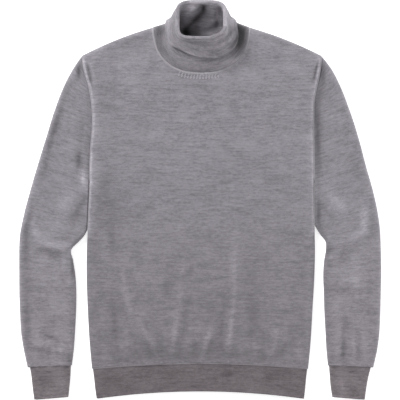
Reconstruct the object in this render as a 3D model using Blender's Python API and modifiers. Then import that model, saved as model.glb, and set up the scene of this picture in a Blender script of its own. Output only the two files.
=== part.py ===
"""A fine-knit turtleneck sweater, laid flat on its back with its collar folded over.

The garment is made the way it is knitted and linked: a front, a back, two set-in sleeves, a collar,
a hem band for the front and the back, and two cuffs. Each is a wall of cloth with its own object.
All sizes are in millimetres until a mesh is made. +X is across the sweater, +Y runs from the hem to
the collar, +Z is up, and the back lies on Z = 0.
"""

import math

import bpy
import numpy as np

MM = 0.001

# Driving sizes of the cloth.
WALL = 1.8  # thickness of the knit
SLEEVE_GAP = 0.6  # between the body's edge and the sleeve beside it
FOLD_Z = 6.0  # height of the side seams, half way up the garment's folded edges
LAY_CENTRE = (0.23, -2.74)  # the middle of the laid garment, which becomes the origin

# Driving sizes of the body.
BODY_HEIGHT = 15.0  # top of the front next to its rounded edge
BODY_CROWN = 5.0  # how much higher the middle of the front lies
TOP_ROLL = 11.0  # width of the rounded upper edge
UNDER_ROLL = 7.0  # width of the rounded lower edge
NECK_LIFT = 4.0  # how far the front rises to the collar
ARMHOLE_Z = 10.5  # height of the armhole seam on the front
ARMHOLE_END = 14.0  # length over which the armhole closes at its two ends
ARMPIT_Y = 31.0  # lower end of the armhole
CAP_Y = 246.0  # the sleeve's first knitted row meets the armhole here
SHOULDER_Y = 273.5  # outer end of the shoulder seam
SHOULDER_Z = 4.8  # height of the shoulder seams
SHOULDER_BULGE = 4.0  # how far the shoulder line curves out between its ends
HEM_SEAM_Y = -320.0  # at the sides
HEM_SEAM_ARCH = 8.0  # how much higher the seam lies in the middle
HEM_HEIGHT = 12.0  # top of the hem band
HEM_DROP = 75.0  # the front comes down to the band over this length
HEM_HALF = 205.0  # from the middle to the end of the hem seam's arch
HEM_LEFT_OVER = 0.12  # share of the front's fullness that is left at the hem seam
SEAM_STEP = 0.7  # how much higher the front ends than the hem band begins
NECK_LIFT_PLACE = (2.2, 330.0)
NECK_LIFT_HALF = (100.0, 105.0)
NECK_LIFT_REACH = 1.6  # in halves, where the lift begins
SHOULDER_SIDE = 122.0  # from the side seam to the columns that run up to the neck

# Driving sizes of the collar.
MOUTH_CENTRE = (2.4, 336.5)
MOUTH_HALF = (42.6, 32.0)  # half of the mouth's width and depth
MOUTH_SQUARE = 5.0  # exponent of its rounded outline: 2 is an ellipse
MOUTH_PULL = 6.0  # how far its front right corner is drawn back
MOUTH_PULL_X = (14.0, 30.0)  # where that begins, and over what width
MOUTH_Z_FRONT = 82.0  # the turned edge's height at the front
MOUTH_Z_BACK = 60.0  # and at the back
NECK_GAP = 0.5  # between the front's neckline and the collar
BACK_NECK_GAP = 2.2  # the collar's wall turns up over the back's edge
FRONT_RISE = 58.0  # degrees at which the stand leaves the front
BACK_RISE = 2.0  # and the back
MOUTH_RISE = 66.0  # and at which it arrives at its mouth
STAND_PULL = 0.3  # share of the stand's reach over which it keeps those slopes


def table(columns, *rows):
    """Rows of numbers as one array for each named column."""
    return dict(zip(columns.split(), np.array(rows, float).T))


BODY_EDGE = table(
    "y left right",
    (-321, -204.8, 205.0),
    (-275, -209.0, 209.4),
    (-206, -213.0, 213.6),
    (-138, -215.2, 217.3),
    (-92, -214.7, 218.2),
    (-56, -212.8, 217.2),
    (22, -208.4, 215.8),
    (94, -205.4, 214.5),
    (150, -201.0, 213.8),
    (193, -204.3, 216.2),
    (214, -210.0, 221.0),
    (246, -219.3, 227.2),
    (273.5, -223.8, 230.4),
)

# Half of the neckline on the front and on the back, out from the middle of the neck.
NECK_X = 2.2
NECK_FRONT = table(
    "out y",
    (0, 236.5),
    (32.5, 240.7),
    (61.7, 255.5),
    (81.5, 279.5),
    (89.2, 306.0),
    (92.0, 327.0),
)
NECK_BACK = table(
    "out y",
    (0, 309.0),
    (30, 310.5),
    (62, 316.0),
    (92.0, 327.0),
)

# The turned edge, round from the left by the front: its radius, the share of the stand that the
# turned-down layer covers, and how far that layer's lower edge stands off.
TURN = table(
    "round radius share flare",
    (0.00, 2.2, 0.44, 1.5),
    (0.08, 2.0, 0.46, 3.0),
    (0.15, 2.0, 0.42, 3.0),
    (0.25, 2.0, 0.52, 3.0),
    (0.36, 2.0, 0.58, 3.0),
    (0.44, 2.0, 0.52, 2.5),
    (0.505, 2.0, 0.38, 1.0),
    (0.53, 2.0, 0.26, 0.5),
    (0.56, 2.0, 0.20, 0.5),
    (0.62, 2.4, 0.24, 0.5),
    (0.75, 3.3, 0.36, 1.5),
    (0.88, 2.4, 0.26, 0.5),
    (0.94, 2.2, 0.24, 0.5),
    (0.97, 2.2, 0.30, 0.5),
    (1.00, 2.2, 0.44, 1.5),
)

# Sections of each sleeve, from its cap to the cuff: its body side and its outer fold, out from x = 0.
# Down to the eighth row the body side follows the body's own edge, which in_out leaves at 0.
SLEEVE_COLUMNS = "in_y in_out out_x out_y height"
SLEEVE_LEFT = table(
    SLEEVE_COLUMNS,
    (246, 0, 225.0, 272.3, 13),
    (222, 0, 240.3, 249.8, 15),
    (193, 0, 256.6, 219.5, 16),
    (150, 0, 274.6, 174.0, 17),
    (94, 0, 291.5, 120.0, 18),
    (31, 0, 309.8, 60.7, 18),
    (-15, 0, 322.7, 15.7, 18),
    (-57, 0, 335.0, -31.0, 18),
    (-69, 220.5, 339.0, -50.0, 18),
    (-80, 230.5, 341.8, -66.0, 17),
    (-92, 242.8, 343.0, -84.0, 16),
    (-115, 240.6, 343.3, -112.0, 15),
    (-138, 236.9, 343.2, -137.0, 15),
    (-175, 234.5, 343.0, -175.0, 15),
    (-215, 235.2, 341.6, -215.0, 15),
    (-252, 237.1, 339.5, -252.0, 15),
    (-285, 239.5, 334.2, -285.0, 15),
    (-314, 243.0, 327.3, -317.7, 13),
)
SLEEVE_RIGHT = table(
    SLEEVE_COLUMNS,
    (246, 0, 231.6, 272.3, 13),
    (222, 0, 248.6, 249.8, 15),
    (193, 0, 264.6, 219.5, 16),
    (150, 0, 282.6, 174.0, 17),
    (94, 0, 300.2, 120.0, 18),
    (31, 0, 316.0, 60.7, 18),
    (-15, 0, 328.7, 15.7, 18),
    (-57, 0, 338.9, -31.0, 18),
    (-69, 227.6, 341.2, -50.0, 18),
    (-80, 236.6, 342.2, -66.0, 17),
    (-92, 237.8, 343.0, -84.0, 16),
    (-115, 235.4, 343.6, -112.0, 15),
    (-138, 233.8, 343.8, -137.0, 15),
    (-175, 234.8, 343.2, -175.0, 15),
    (-215, 236.0, 342.1, -215.0, 15),
    (-252, 238.1, 340.4, -252.0, 15),
    (-285, 239.9, 336.2, -285.0, 15),
    (-314, 242.8, 329.0, -317.7, 13),
)

CAP_SLOPE = 26.0  # the sleeve rises from the armhole over this much more than its other edges
LEAVE_ROW = 7  # the sleeve's section where it comes out from beside the body
MOST_IN_ROLL = 0.6  # shares of a narrow tube's width that its rounded edges may take
MOST_OUT_ROLL = 0.45

# Soft folds: each runs from (x0, y0) to (x1, y1), and a height below 0 is a trough.
FOLD_COLUMNS = "x0 y0 x1 y1 width height"
BODY_FOLDS = table(
    FOLD_COLUMNS,
    (-147, -150, -130, -208, 13, 2.2),
    (-130, -208, -78, -309, 13, 3.6),
    (-162, -225, -159, -308, 12, -2.6),
    (-38, -60, -38, -190, 14, 1.8),
    (-38, -190, -54, -300, 13, 3.2),
    (-16, -120, -20, -250, 13, -2.0),
    (24, -250, 2, -308, 12, 3.0),
    (66, -100, 62, -215, 13, 2.2),
    (62, -215, 52, -308, 13, 3.6),
    (92, -120, 98, -290, 13, -2.2),
    (156, -268, 134, -310, 13, 3.0),
    (182, -220, 180, -305, 13, -2.4),
    (-170, -48, -170, -136, 13, 1.8),
    (-121, 300, -122, 235, 12, 2.4),
    (-103, 302, -100, 240, 10, -2.2),
    (100, 281, 190, 279, 10, 1.8),
)
LEFT_FOLDS = table(
    FOLD_COLUMNS,
    (-322, -50, -306, -78, 11, 5.0),
    (-306, -78, -246, -90, 10, 6.0),
    (-305, -101, -258, -106, 11, -4.0),
    (-276, 50, -248, -2, 16, 3.0),
    (-248, -2, -276, -66, 15, 3.2),
    (-233, 78, -236, 20, 13, -3.0),
    (-268, -292, -262, -312, 12, 3.0),
    (-300, -262, -304, -310, 11, 2.2),
    (-286, -270, -284, -312, 10, -2.4),
)
RIGHT_FOLDS = table(
    FOLD_COLUMNS,
    (318, -28, 311, -60, 11, 4.6),
    (311, -60, 286, -76, 10, 5.6),
    (286, -76, 240, -80, 10, 6.0),
    (300, -100, 250, -104, 11, -4.0),
    (262, 20, 256, -20, 16, 3.2),
    (238, -12, 240, -48, 12, -3.2),
    (255, -205, 256, -310, 11, 2.6),
    (275, -210, 275, -310, 11, -2.8),
    (291, -215, 293, -310, 11, 2.8),
)

# Distances from an edge at which its roundness is drawn.
ROLL = (0.0, 0.6, 2.6, 6.2, 11.0)
BACK_ROLL = (0.0, 0.8, 3.0, 7.0)
SIDE_SEAM = 0.7  # how far the two panels' edges lie above and below the side seam

HEM_BAND = table(
    "down left right arch height",
    (0.0, -203.4, 203.6, 8.0, 12.0),
    (16.0, -201.3, 201.6, 9.0, 12.5),
    (36.0, -199.2, 199.8, 11.0, 12.0),
    (57.8, -196.2, 197.4, 14.0, 11.0),
)
HEM_TOP_Y = -320.4
BAND_ROLL = 9.0  # width of the hem band's rounded upper edges
CUFF_ROLL = 8.0  # and of the cuffs'

CUFF_COLUMNS = "in_x in_y out_x out_y height"
CUFF_LEFT = table(
    CUFF_COLUMNS,
    (245.0, -314.7, 322.6, -318.0, 12.0),
    (245.6, -331.0, 320.0, -335.0, 12.5),
    (247.4, -352.0, 317.6, -357.0, 12.0),
    (249.6, -373.6, 314.7, -379.0, 11.0),
)
CUFF_RIGHT = table(
    CUFF_COLUMNS,
    (244.6, -314.7, 324.2, -318.0, 12.0),
    (245.9, -331.0, 319.6, -335.0, 12.5),
    (247.6, -352.0, 315.6, -357.0, 12.0),
    (250.8, -373.6, 312.6, -379.0, 11.0),
)

# Linear colours of the melange yarn in its plain knit and in the denser bands.
KNIT_GREY = (0.270, 0.255, 0.285)
BAND_GREY = (0.165, 0.148, 0.162)
COLLAR_GREY = (0.215, 0.200, 0.218)

# How many steps each surface has.
NECK_STEPS = 6  # on half of the front's neckline, before the close ones at the shoulder
BACK_NECK_STEPS = 4
NECK_CLOSE = (16.0, 8.0, 2.5, 0.0)  # distances of the close ones from the shoulder
BACK_NECK_CLOSE = (8.0, 2.5, 0.0)
ARM_ROWS = 10  # along the armhole
SLEEVE_FREE_ROWS = 17  # from the armpit to the cuff
SLEEVE_CROWDING = 0.92  # an exponent: below 1, the rows lie closer towards the cuff
FRONT_SIDE_STEPS = 7
FRONT_LOWER_ROWS = 12
BACK_SIDE_STEPS = 2
BACK_LOWER_ROWS = 5
BODY_CROWDING = 1.2  # an exponent: above 1, the rows lie closer towards the hem
STAND_ROWS = 8
TURN_ROWS = 5
FOLD_ANGLES = (45, 90, 135, 180)  # degrees round the collar's turned edge
CURVE_SAMPLES = 360
SLOPE_STEP = 0.02  # share of the stand over which its slope is taken

# Where the columns lie across each surface, as shares of its width.
UPPER_SHARES = (0.0, 0.012, 0.045, 0.1, 0.2, 0.33, 0.46, 0.6, 0.73, 0.84, 0.91, 0.955, 0.988, 1.0)
LOWER_SHARES = (0.0, 0.012, 0.04, 0.08, 0.5, 0.92, 0.96, 0.988, 1.0)
BAND_SHARES = (0.0, 0.0012, 0.007, 0.022, *np.linspace(0.06, 0.94, 12), 0.978, 0.993, 0.9988, 1.0)
BAND_BACK_SHARES = (0.0, 0.0015, 0.007, 0.018, *np.linspace(0.12, 0.88, 6), 0.982, 0.993, 0.9985, 1.0)


def smooth(at, keys, values):
    """A cubic Hermite curve through the rows of a table, whose keys rise."""
    keys = np.asarray(keys, float)
    values = np.asarray(values, float)
    at = np.clip(at, keys[0], keys[-1])
    slope = np.gradient(values, keys)
    i = np.clip(np.searchsorted(keys, at, side="right") - 1, 0, len(keys) - 2)
    span = keys[i + 1] - keys[i]
    t = (at - keys[i]) / span
    start = (2 * t**3 - 3 * t**2 + 1) * values[i]
    leave = (t**3 - 2 * t**2 + t) * span * slope[i]
    end = (3 * t**2 - 2 * t**3) * values[i + 1]
    arrive = (t**3 - t**2) * span * slope[i + 1]
    return start + leave + end + arrive


def ease(t):
    """0 to 1 with level ends."""
    t = np.clip(t, 0.0, 1.0)
    return t * t * (3 - 2 * t)


def rounded(distance, width):
    """The height share of a quarter-round edge, this far in from it."""
    a = np.clip(1 - distance / width, 0.0, 1.0)
    return np.sqrt(1 - a * a)


def length_along(points):
    """The length run along a polyline up to each of its points."""
    steps = np.linalg.norm(np.diff(points, axis=0), axis=1)
    return np.concatenate([[0.0], np.cumsum(steps)])


def at_lengths(points, lengths):
    """Places on a polyline at these lengths."""
    run = length_along(points)
    return np.stack([np.interp(lengths, run, axis) for axis in points.T], axis=1)


def folded(x, y, folds):
    """The height that a table of soft folds adds at each place: its highest ridge and deepest trough."""
    ridge = np.zeros(np.shape(x))
    trough = np.zeros(np.shape(x))
    for x0, y0, x1, y1, width, height in zip(*folds.values()):
        dx = x1 - x0
        dy = y1 - y0
        t = np.clip(((x - x0) * dx + (y - y0) * dy) / (dx * dx + dy * dy), 0.0, 1.0)
        away = np.hypot(x - x0 - t * dx, y - y0 - t * dy)
        fold = height * np.exp(-((away / width) ** 2))
        ridge = np.maximum(ridge, fold)
        trough = np.minimum(trough, fold)
    return ridge + trough


def body_left(y):
    return smooth(y, BODY_EDGE["y"], BODY_EDGE["left"])


def body_right(y):
    return smooth(y, BODY_EDGE["y"], BODY_EDGE["right"])


def neckline(shape, steps, close):
    """A whole neckline from the left shoulder to the right one, in plan."""
    rows = np.stack([shape["out"], shape["y"]], axis=1)
    run = length_along(rows)
    fine = np.linspace(0.0, run[-1], CURVE_SAMPLES)
    curve = np.stack([smooth(fine, run, rows[:, 0]), smooth(fine, run, rows[:, 1])], axis=1)
    whole = length_along(curve)[-1]
    stations = np.concatenate([np.linspace(0.0, whole - close[0], steps + 1), whole - np.array(close[1:])])
    half = at_lengths(curve, stations)
    return np.concatenate([half[::-1] * (-1, 1), half[1:]]) + (NECK_X, 0)


def bulge(share):
    """How far the shoulder line curves out at shares of its way from the sleeve to the neck."""
    share = np.clip(share, 0.0, 1.0)
    return SHOULDER_BULGE * 4 * share * (1 - share)


def below_shoulder(x, y):
    """How far a place lies below the line of the nearer shoulder."""
    rise = NECK_FRONT["y"][-1] - SHOULDER_Y
    half = NECK_FRONT["out"][-1]
    run_left = NECK_X - half - body_left(SHOULDER_Y)
    run_right = body_right(SHOULDER_Y) - NECK_X - half
    along_left = (x - body_left(SHOULDER_Y)) / run_left
    along_right = (body_right(SHOULDER_Y) - x) / run_right
    left = SHOULDER_Y + rise * along_left + bulge(along_left) - y
    right = SHOULDER_Y + rise * along_right + bulge(along_right) - y
    return np.maximum(np.minimum(left, right), 0.0) * math.cos(math.atan(rise / run_left))


def armhole_open(y):
    """0 where front and back meet in a seam, 1 along the open armhole."""
    return rounded(np.maximum(np.minimum(y - ARMPIT_Y, SHOULDER_Y - y), 0.0), ARMHOLE_END)


def seam_height(y):
    """Height of the seam that front and back share, up the sides and along the shoulders."""
    return FOLD_Z + (SHOULDER_Z - FOLD_Z) * ease((y - ARMPIT_Y) / (SHOULDER_Y - ARMPIT_Y))


def arched(x, arch):
    """How far the hem lies higher at each place across it."""
    return arch * np.clip(1 - (x / HEM_HALF) ** 2, 0.0, 1.0)


def hem_seam(x):
    return HEM_SEAM_Y + arched(x, HEM_SEAM_ARCH)


def front_height(x, y):
    """Height of the front's outer face at each place."""
    left = body_left(y)
    right = body_right(y)
    across = np.clip((2 * x - left - right) / (right - left), -1.0, 1.0)
    top = BODY_HEIGHT + BODY_CROWN * (1 - across**4)
    from_neck = np.hypot((x - NECK_LIFT_PLACE[0]) / NECK_LIFT_HALF[0],
                         (y - NECK_LIFT_PLACE[1]) / NECK_LIFT_HALF[1])
    top = top + NECK_LIFT * ease(NECK_LIFT_REACH - from_neck)
    top = top + folded(x, y, BODY_FOLDS)
    band = HEM_HEIGHT + SEAM_STEP
    fullness = HEM_LEFT_OVER + (1 - HEM_LEFT_OVER) * ease((y - hem_seam(x)) / HEM_DROP)
    top = band + (top - band) * fullness
    edge = seam_height(y) + SIDE_SEAM + (ARMHOLE_Z - seam_height(y)) * armhole_open(y)
    side = rounded(np.maximum(np.minimum(x - left, right - x), 0.0), TOP_ROLL)
    return edge + (top - edge) * side * rounded(below_shoulder(x, y), TOP_ROLL)


def back_height(x, y):
    """Height of the back's outer face: level on the ground, and rounded up at its edges."""
    side = rounded(np.maximum(np.minimum(x - body_left(y), body_right(y) - x), 0.0), UNDER_ROLL)
    shoulder = rounded(below_shoulder(x, y), UNDER_ROLL)
    edge = seam_height(y) - SIDE_SEAM
    return np.maximum(edge * (1 - armhole_open(y)) * (1 - side), edge * (1 - shoulder))


def arm_stations():
    """Heights on the armhole that the body and the sleeve share, from the armpit to the cap."""
    return np.linspace(ARMPIT_Y, CAP_Y, ARM_ROWS + 1)


def body_panel(neck, shoulder_steps, lower_rows, roll, height):
    """A body panel as a grid of points, from the hem seam up to the shoulders and the neckline."""
    roll = np.array(roll)
    corners = [np.array((edge(SHOULDER_Y), SHOULDER_Y)) for edge in (body_left, body_right)]
    shoulder = np.linalg.norm(neck[0] - corners[0])
    along = np.concatenate([roll[:-1], np.linspace(roll[-1], shoulder, shoulder_steps + 1)]) / shoulder
    out = np.column_stack([np.zeros(len(along) - 1), bulge(along[:-1])])
    top = np.concatenate([
        corners[0] + along[:-1, None] * (neck[0] - corners[0]) + out,
        neck,
        (corners[1] + along[:-1, None] * (neck[-1] - corners[1]) + out)[::-1],
    ])
    width = body_right(0.0) - body_left(0.0)
    side = np.concatenate([roll[:-1], np.linspace(roll[-1], SHOULDER_SIDE, shoulder_steps + 1)]) / width
    middle = np.linspace(side[-1], 1 - side[-1], len(neck))
    u = np.concatenate([side[:-1], middle, 1 - side[-2::-1]])

    plan = []
    for v in np.linspace(0.0, 1.0, lower_rows + 1)[:-1] ** BODY_CROWDING:
        x = body_left(HEM_SEAM_Y) + u * (body_right(HEM_SEAM_Y) - body_left(HEM_SEAM_Y))
        y = hem_seam(x) * (1 - v) + ARMPIT_Y * v
        x = body_left(y) + u * (body_right(y) - body_left(y))
        plan.append(np.stack([x, y], axis=1))
    pit_left = body_left(ARMPIT_Y)
    pit_right = body_right(ARMPIT_Y)
    pit = np.stack([pit_left + u * (pit_right - pit_left), np.full(len(u), ARMPIT_Y)], axis=1)
    for y in np.concatenate([arm_stations(), SHOULDER_Y - roll[::-1]]):
        t = (y - ARMPIT_Y) / (SHOULDER_Y - ARMPIT_Y)
        row = (1 - t) * pit + t * top
        bend_left = np.array((body_left(y), y)) - row[0]
        bend_right = np.array((body_right(y), y)) - row[-1]
        plan.append(row + (1 - u[:, None]) * bend_left + u[:, None] * bend_right)
    plan = np.array(plan)
    return np.dstack([plan, height(plan[..., 0], plan[..., 1])])


def section_point(share, inner, outer, ys, out_ys):
    """Places in plan at shares of the way from a section's body side to its outer fold."""
    x = inner + share * (outer - inner)
    y = ys + share * (out_ys - ys)
    return x, y


def tube_heights(width, share, height, in_edge, in_roll, under_edge):
    """Heights of a flattened tube's upper and lower faces across one of its sections."""
    from_in = share * width
    from_out = (1 - share) * width
    in_roll = np.minimum(in_roll, MOST_IN_ROLL * width)
    out_roll = np.minimum(TOP_ROLL, MOST_OUT_ROLL * width)
    rise = in_edge - FOLD_Z + (height - in_edge) * rounded(from_in, in_roll)
    upper = FOLD_Z + rise * rounded(from_out, out_roll)
    under_roll = np.minimum(UNDER_ROLL, MOST_OUT_ROLL * width)
    lower = np.maximum(under_edge * (1 - rounded(from_in, under_roll)),
                       FOLD_Z * (1 - rounded(from_out, under_roll)))
    return upper, lower


def sleeve_surface(sections, side, folds):
    """A sleeve's points and faces: slit along the armhole, and closed as a tube below it."""
    down = np.linspace(0, 1, SLEEVE_FREE_ROWS + 1)[1:] ** SLEEVE_CROWDING
    free_y = ARMPIT_Y + (sections["in_y"][-1] - ARMPIT_Y) * down
    ys = np.concatenate([arm_stations()[::-1], free_y])
    keys = sections["in_y"][::-1]
    beside = body_left(ys) if side < 0 else body_right(ys)
    beside = beside + side * SLEEVE_GAP
    leave = sections["in_y"][LEAVE_ROW]
    free_keys = sections["in_y"][LEAVE_ROW:][::-1]
    free_out = sections["in_out"][LEAVE_ROW:][::-1].copy()
    free_out[-1] = abs(body_left(leave) if side < 0 else body_right(leave)) + SLEEVE_GAP
    inner = np.where(ys >= leave, beside, side * smooth(ys, free_keys, free_out))
    outer = side * smooth(ys, keys, sections["out_x"][::-1])
    out_ys = smooth(ys, keys, sections["out_y"][::-1])
    heights = smooth(ys, keys, sections["height"][::-1])
    opened = armhole_open(ys)

    upper_share = np.array(UPPER_SHARES)
    lower_share = np.array(LOWER_SHARES)[::-1]
    rows = []
    for k, y in enumerate(ys):
        width = math.hypot(outer[k] - inner[k], out_ys[k] - y)
        in_edge = FOLD_Z + (ARMHOLE_Z - FOLD_Z) * opened[k]
        in_roll = TOP_ROLL + CAP_SLOPE * opened[k]
        under_edge = FOLD_Z * (1 - opened[k])
        x, up_y = section_point(upper_share, inner[k], outer[k], y, out_ys[k])
        height = heights[k] + folded(x, up_y, folds)
        up_z, _ = tube_heights(width, upper_share, height, in_edge, in_roll, under_edge)
        under_x, under_y = section_point(lower_share, inner[k], outer[k], y, out_ys[k])
        _, under_z = tube_heights(width, lower_share, heights[k], in_edge, in_roll, under_edge)
        if k == 0:
            edge = body_left if side < 0 else body_right
            x = edge(up_y) + side * SLEEVE_GAP
            under_x = edge(under_y) + side * SLEEVE_GAP
            up_z = seam_height(up_y) + (ARMHOLE_Z - seam_height(up_y)) * armhole_open(up_y)
            under_z = seam_height(under_y) * (1 - armhole_open(under_y))
        upper = np.stack([x, up_y, up_z], axis=1)
        under = np.stack([under_x, under_y, under_z], axis=1)
        rows.append(np.concatenate([upper, under[1:]]))
    return slit_tube(np.array(rows), ARM_ROWS, side > 0)


def slit_tube(grid, slit_rows, flip):
    """Points and faces of a tube that is open along its first column down to a row."""
    rows, columns, _ = grid.shape
    points = []
    index = np.zeros((rows, columns), int)
    for i in range(rows):
        for j in range(columns):
            if i >= slit_rows and j == columns - 1:
                index[i, j] = index[i, 0]
                continue
            index[i, j] = len(points)
            points.append(grid[i, j])
    faces = []
    for i in range(rows - 1):
        for j in range(columns - 1):
            quad = (index[i, j], index[i, j + 1], index[i + 1, j + 1], index[i + 1, j])
            faces.append(tuple(int(v) for v in (quad[::-1] if flip else quad)))
    return np.array(points), faces


def cuff_surface(sections, side):
    """A cuff's points and faces: a flattened tube, open at both ends."""
    upper_share = np.array(UPPER_SHARES)
    lower_share = np.array(LOWER_SHARES)[::-1]
    rows = []
    for in_x, in_y, out_x, out_y, height in zip(*sections.values()):
        width = math.hypot(out_x - in_x, out_y - in_y)
        x, y = section_point(upper_share, side * in_x, side * out_x, in_y, out_y)
        z, _ = tube_heights(width, upper_share, height, FOLD_Z, CUFF_ROLL, FOLD_Z)
        under_x, under_y = section_point(lower_share, side * in_x, side * out_x, in_y, out_y)
        _, under_z = tube_heights(width, lower_share, height, FOLD_Z, CUFF_ROLL, FOLD_Z)
        upper = np.stack([x, y, z], axis=1)
        under = np.stack([under_x, under_y, under_z], axis=1)
        rows.append(np.concatenate([upper, under[1:]]))
    return slit_tube(np.array(rows), 0, side > 0)


def hem_band(shares, front):
    """The front or the back of the hem band, as a grid from its lower edge up to the seam."""
    rows = []
    for down, left, right, arch, height in reversed(list(zip(*HEM_BAND.values()))):
        x = left + shares * (right - left)
        y = HEM_TOP_Y - down + arched(x, arch)
        inside = np.minimum(x - left, right - x)
        if front:
            edge = FOLD_Z + SIDE_SEAM
            z = edge + (height - edge) * rounded(inside, BAND_ROLL)
        else:
            z = (FOLD_Z - SIDE_SEAM) * (1 - rounded(inside, UNDER_ROLL))
        rows.append(np.stack([x, y, z], axis=1))
    return np.array(rows)


def unit(vectors):
    return vectors / np.linalg.norm(vectors, axis=-1, keepdims=True)


def collar_base(front_neck, back_neck):
    """The ring where the collar is linked on: the front's neckline, then the back's, counter-clockwise."""
    front_z = front_height(front_neck[:, 0], front_neck[:, 1])
    back = back_neck[::-1][1:-1]
    back_z = back_height(back[:, 0], back[:, 1])
    ring = np.concatenate([np.column_stack([front_neck, front_z]), np.column_stack([back, back_z])])
    forward = unit(np.roll(ring, -1, axis=0)[:, :2] - np.roll(ring, 1, axis=0)[:, :2])
    aside = np.where(np.arange(len(ring)) < len(front_neck), NECK_GAP, -BACK_NECK_GAP)
    ring[:, 0] -= forward[:, 1] * aside
    ring[:, 1] += forward[:, 0] * aside
    return ring


def mouth_ring(front_count, back_count):
    """The collar's turned edge: a rounded outline that faces up and leans back."""
    angle = np.linspace(math.pi, 3 * math.pi, 2 * CURVE_SAMPLES + 1)
    power = 2 / MOUTH_SQUARE
    x = MOUTH_CENTRE[0] + MOUTH_HALF[0] * np.sign(np.cos(angle)) * np.abs(np.cos(angle)) ** power
    y = MOUTH_CENTRE[1] + MOUTH_HALF[1] * np.sign(np.sin(angle)) * np.abs(np.sin(angle)) ** power
    outline = np.column_stack([x, y])
    front = outline[:CURVE_SAMPLES + 1]
    back = outline[CURVE_SAMPLES:]
    front = at_lengths(front, np.linspace(0, length_along(front)[-1], front_count))
    back = at_lengths(back, np.linspace(0, length_along(back)[-1], back_count + 2))[1:-1]
    ring = np.concatenate([front, back])
    share = (ring[:, 1] - MOUTH_CENTRE[1] + MOUTH_HALF[1]) / (2 * MOUTH_HALF[1])
    ring[:, 1] += MOUTH_PULL * ease((ring[:, 0] - MOUTH_PULL_X[0]) / MOUTH_PULL_X[1]) * (1 - share)
    return np.column_stack([ring, MOUTH_Z_FRONT + share * (MOUTH_Z_BACK - MOUTH_Z_FRONT)])


def stand_point(base, mouth, rise, share):
    """Places on the collar's stand, a curve up from each point of its base to its mouth."""
    reach = np.linalg.norm(mouth - base, axis=1)
    inward = unit(mouth[:, :2] - base[:, :2])
    start = np.column_stack([inward * np.cos(rise)[:, None], np.sin(rise)])
    top_rise = math.radians(MOUTH_RISE)
    end = np.column_stack([inward * math.cos(top_rise), np.full(len(base), math.sin(top_rise))])
    leave = base + start * (STAND_PULL * reach)[:, None]
    arrive = mouth - end * (STAND_PULL * reach)[:, None]
    s = share
    return ((1 - s) ** 3 * base + 3 * s * (1 - s) ** 2 * leave
            + 3 * s**2 * (1 - s) * arrive + s**3 * mouth)


def collar_surface(front_neck, back_neck):
    """The collar's cloth as rings: up the stand's outer face, over the turned edge, and down again."""
    base = collar_base(front_neck, back_neck)
    mouth = mouth_ring(len(front_neck), len(base) - len(front_neck))
    count = len(base)
    rise = np.full(count, math.radians(FRONT_RISE))
    back_share = np.arange(1, count - len(front_neck) + 1) / (count - len(front_neck) + 1)
    level = np.sin(math.pi * back_share) ** 0.5
    rise[len(front_neck):] = np.radians(FRONT_RISE + (BACK_RISE - FRONT_RISE) * level)

    run = length_along(np.concatenate([mouth, mouth[:1]]))
    place = run[:-1] / run[-1]
    radius = smooth(place, TURN["round"], TURN["radius"])[:, None]
    covered = smooth(place, TURN["round"], TURN["share"])[:, None]
    flare = smooth(place, TURN["round"], TURN["flare"])[:, None]

    def stand(share):
        return stand_point(base, mouth, rise, share)

    def outward(share):
        upward = stand(share) - stand(share - SLOPE_STEP)
        around = np.roll(stand(share), -1, axis=0) - np.roll(stand(share), 1, axis=0)
        return unit(np.cross(around, upward)), unit(upward)

    rings = [stand(share) for share in np.linspace(0.0, 1.0, STAND_ROWS + 1)]
    out, up = outward(1.0)
    for angle in np.radians(FOLD_ANGLES):
        rings.append(mouth + radius * ((1 - math.cos(angle)) * out + math.sin(angle) * up))
    for share in np.linspace(0.0, 1.0, TURN_ROWS + 1)[1:]:
        at = 1 - covered * share
        out, up = outward(at)
        rings.append(stand(at) + out * (2 * radius + flare * share**1.5))
    return np.array(rings)


def grid_faces(grid, closed=False):
    """Quads over a grid of points; closed joins its last column to its first."""
    rows, columns, _ = grid.shape
    faces = []
    for i in range(rows - 1):
        for j in range(columns if closed else columns - 1):
            k = (j + 1) % columns
            faces.append((i * columns + j, i * columns + k, (i + 1) * columns + k, (i + 1) * columns + j))
    return faces


def make_cloth(name, points, faces, colour, collection):
    """A wall of cloth from an open surface whose faces look outwards."""
    points = (np.reshape(points, (-1, 3)) - (*LAY_CENTRE, 0.0)) * MM
    mesh = bpy.data.meshes.new(name)
    mesh.from_pydata(points.tolist(), [], faces)
    mesh.shade_smooth()
    cloth = bpy.data.objects.new(name, mesh)
    wall = cloth.modifiers.new("wall", "SOLIDIFY")
    wall.thickness = WALL * MM
    wall.offset = -1.0
    wall.use_even_offset = True
    material = bpy.data.materials.new(name)
    material.use_nodes = True
    shader = material.node_tree.nodes["Principled BSDF"]
    shader.inputs["Base Color"].default_value = (*colour, 1.0)
    shader.inputs["Roughness"].default_value = 0.9
    shader.inputs["Metallic"].default_value = 0.0
    mesh.materials.append(material)
    collection.objects.link(cloth)


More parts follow.
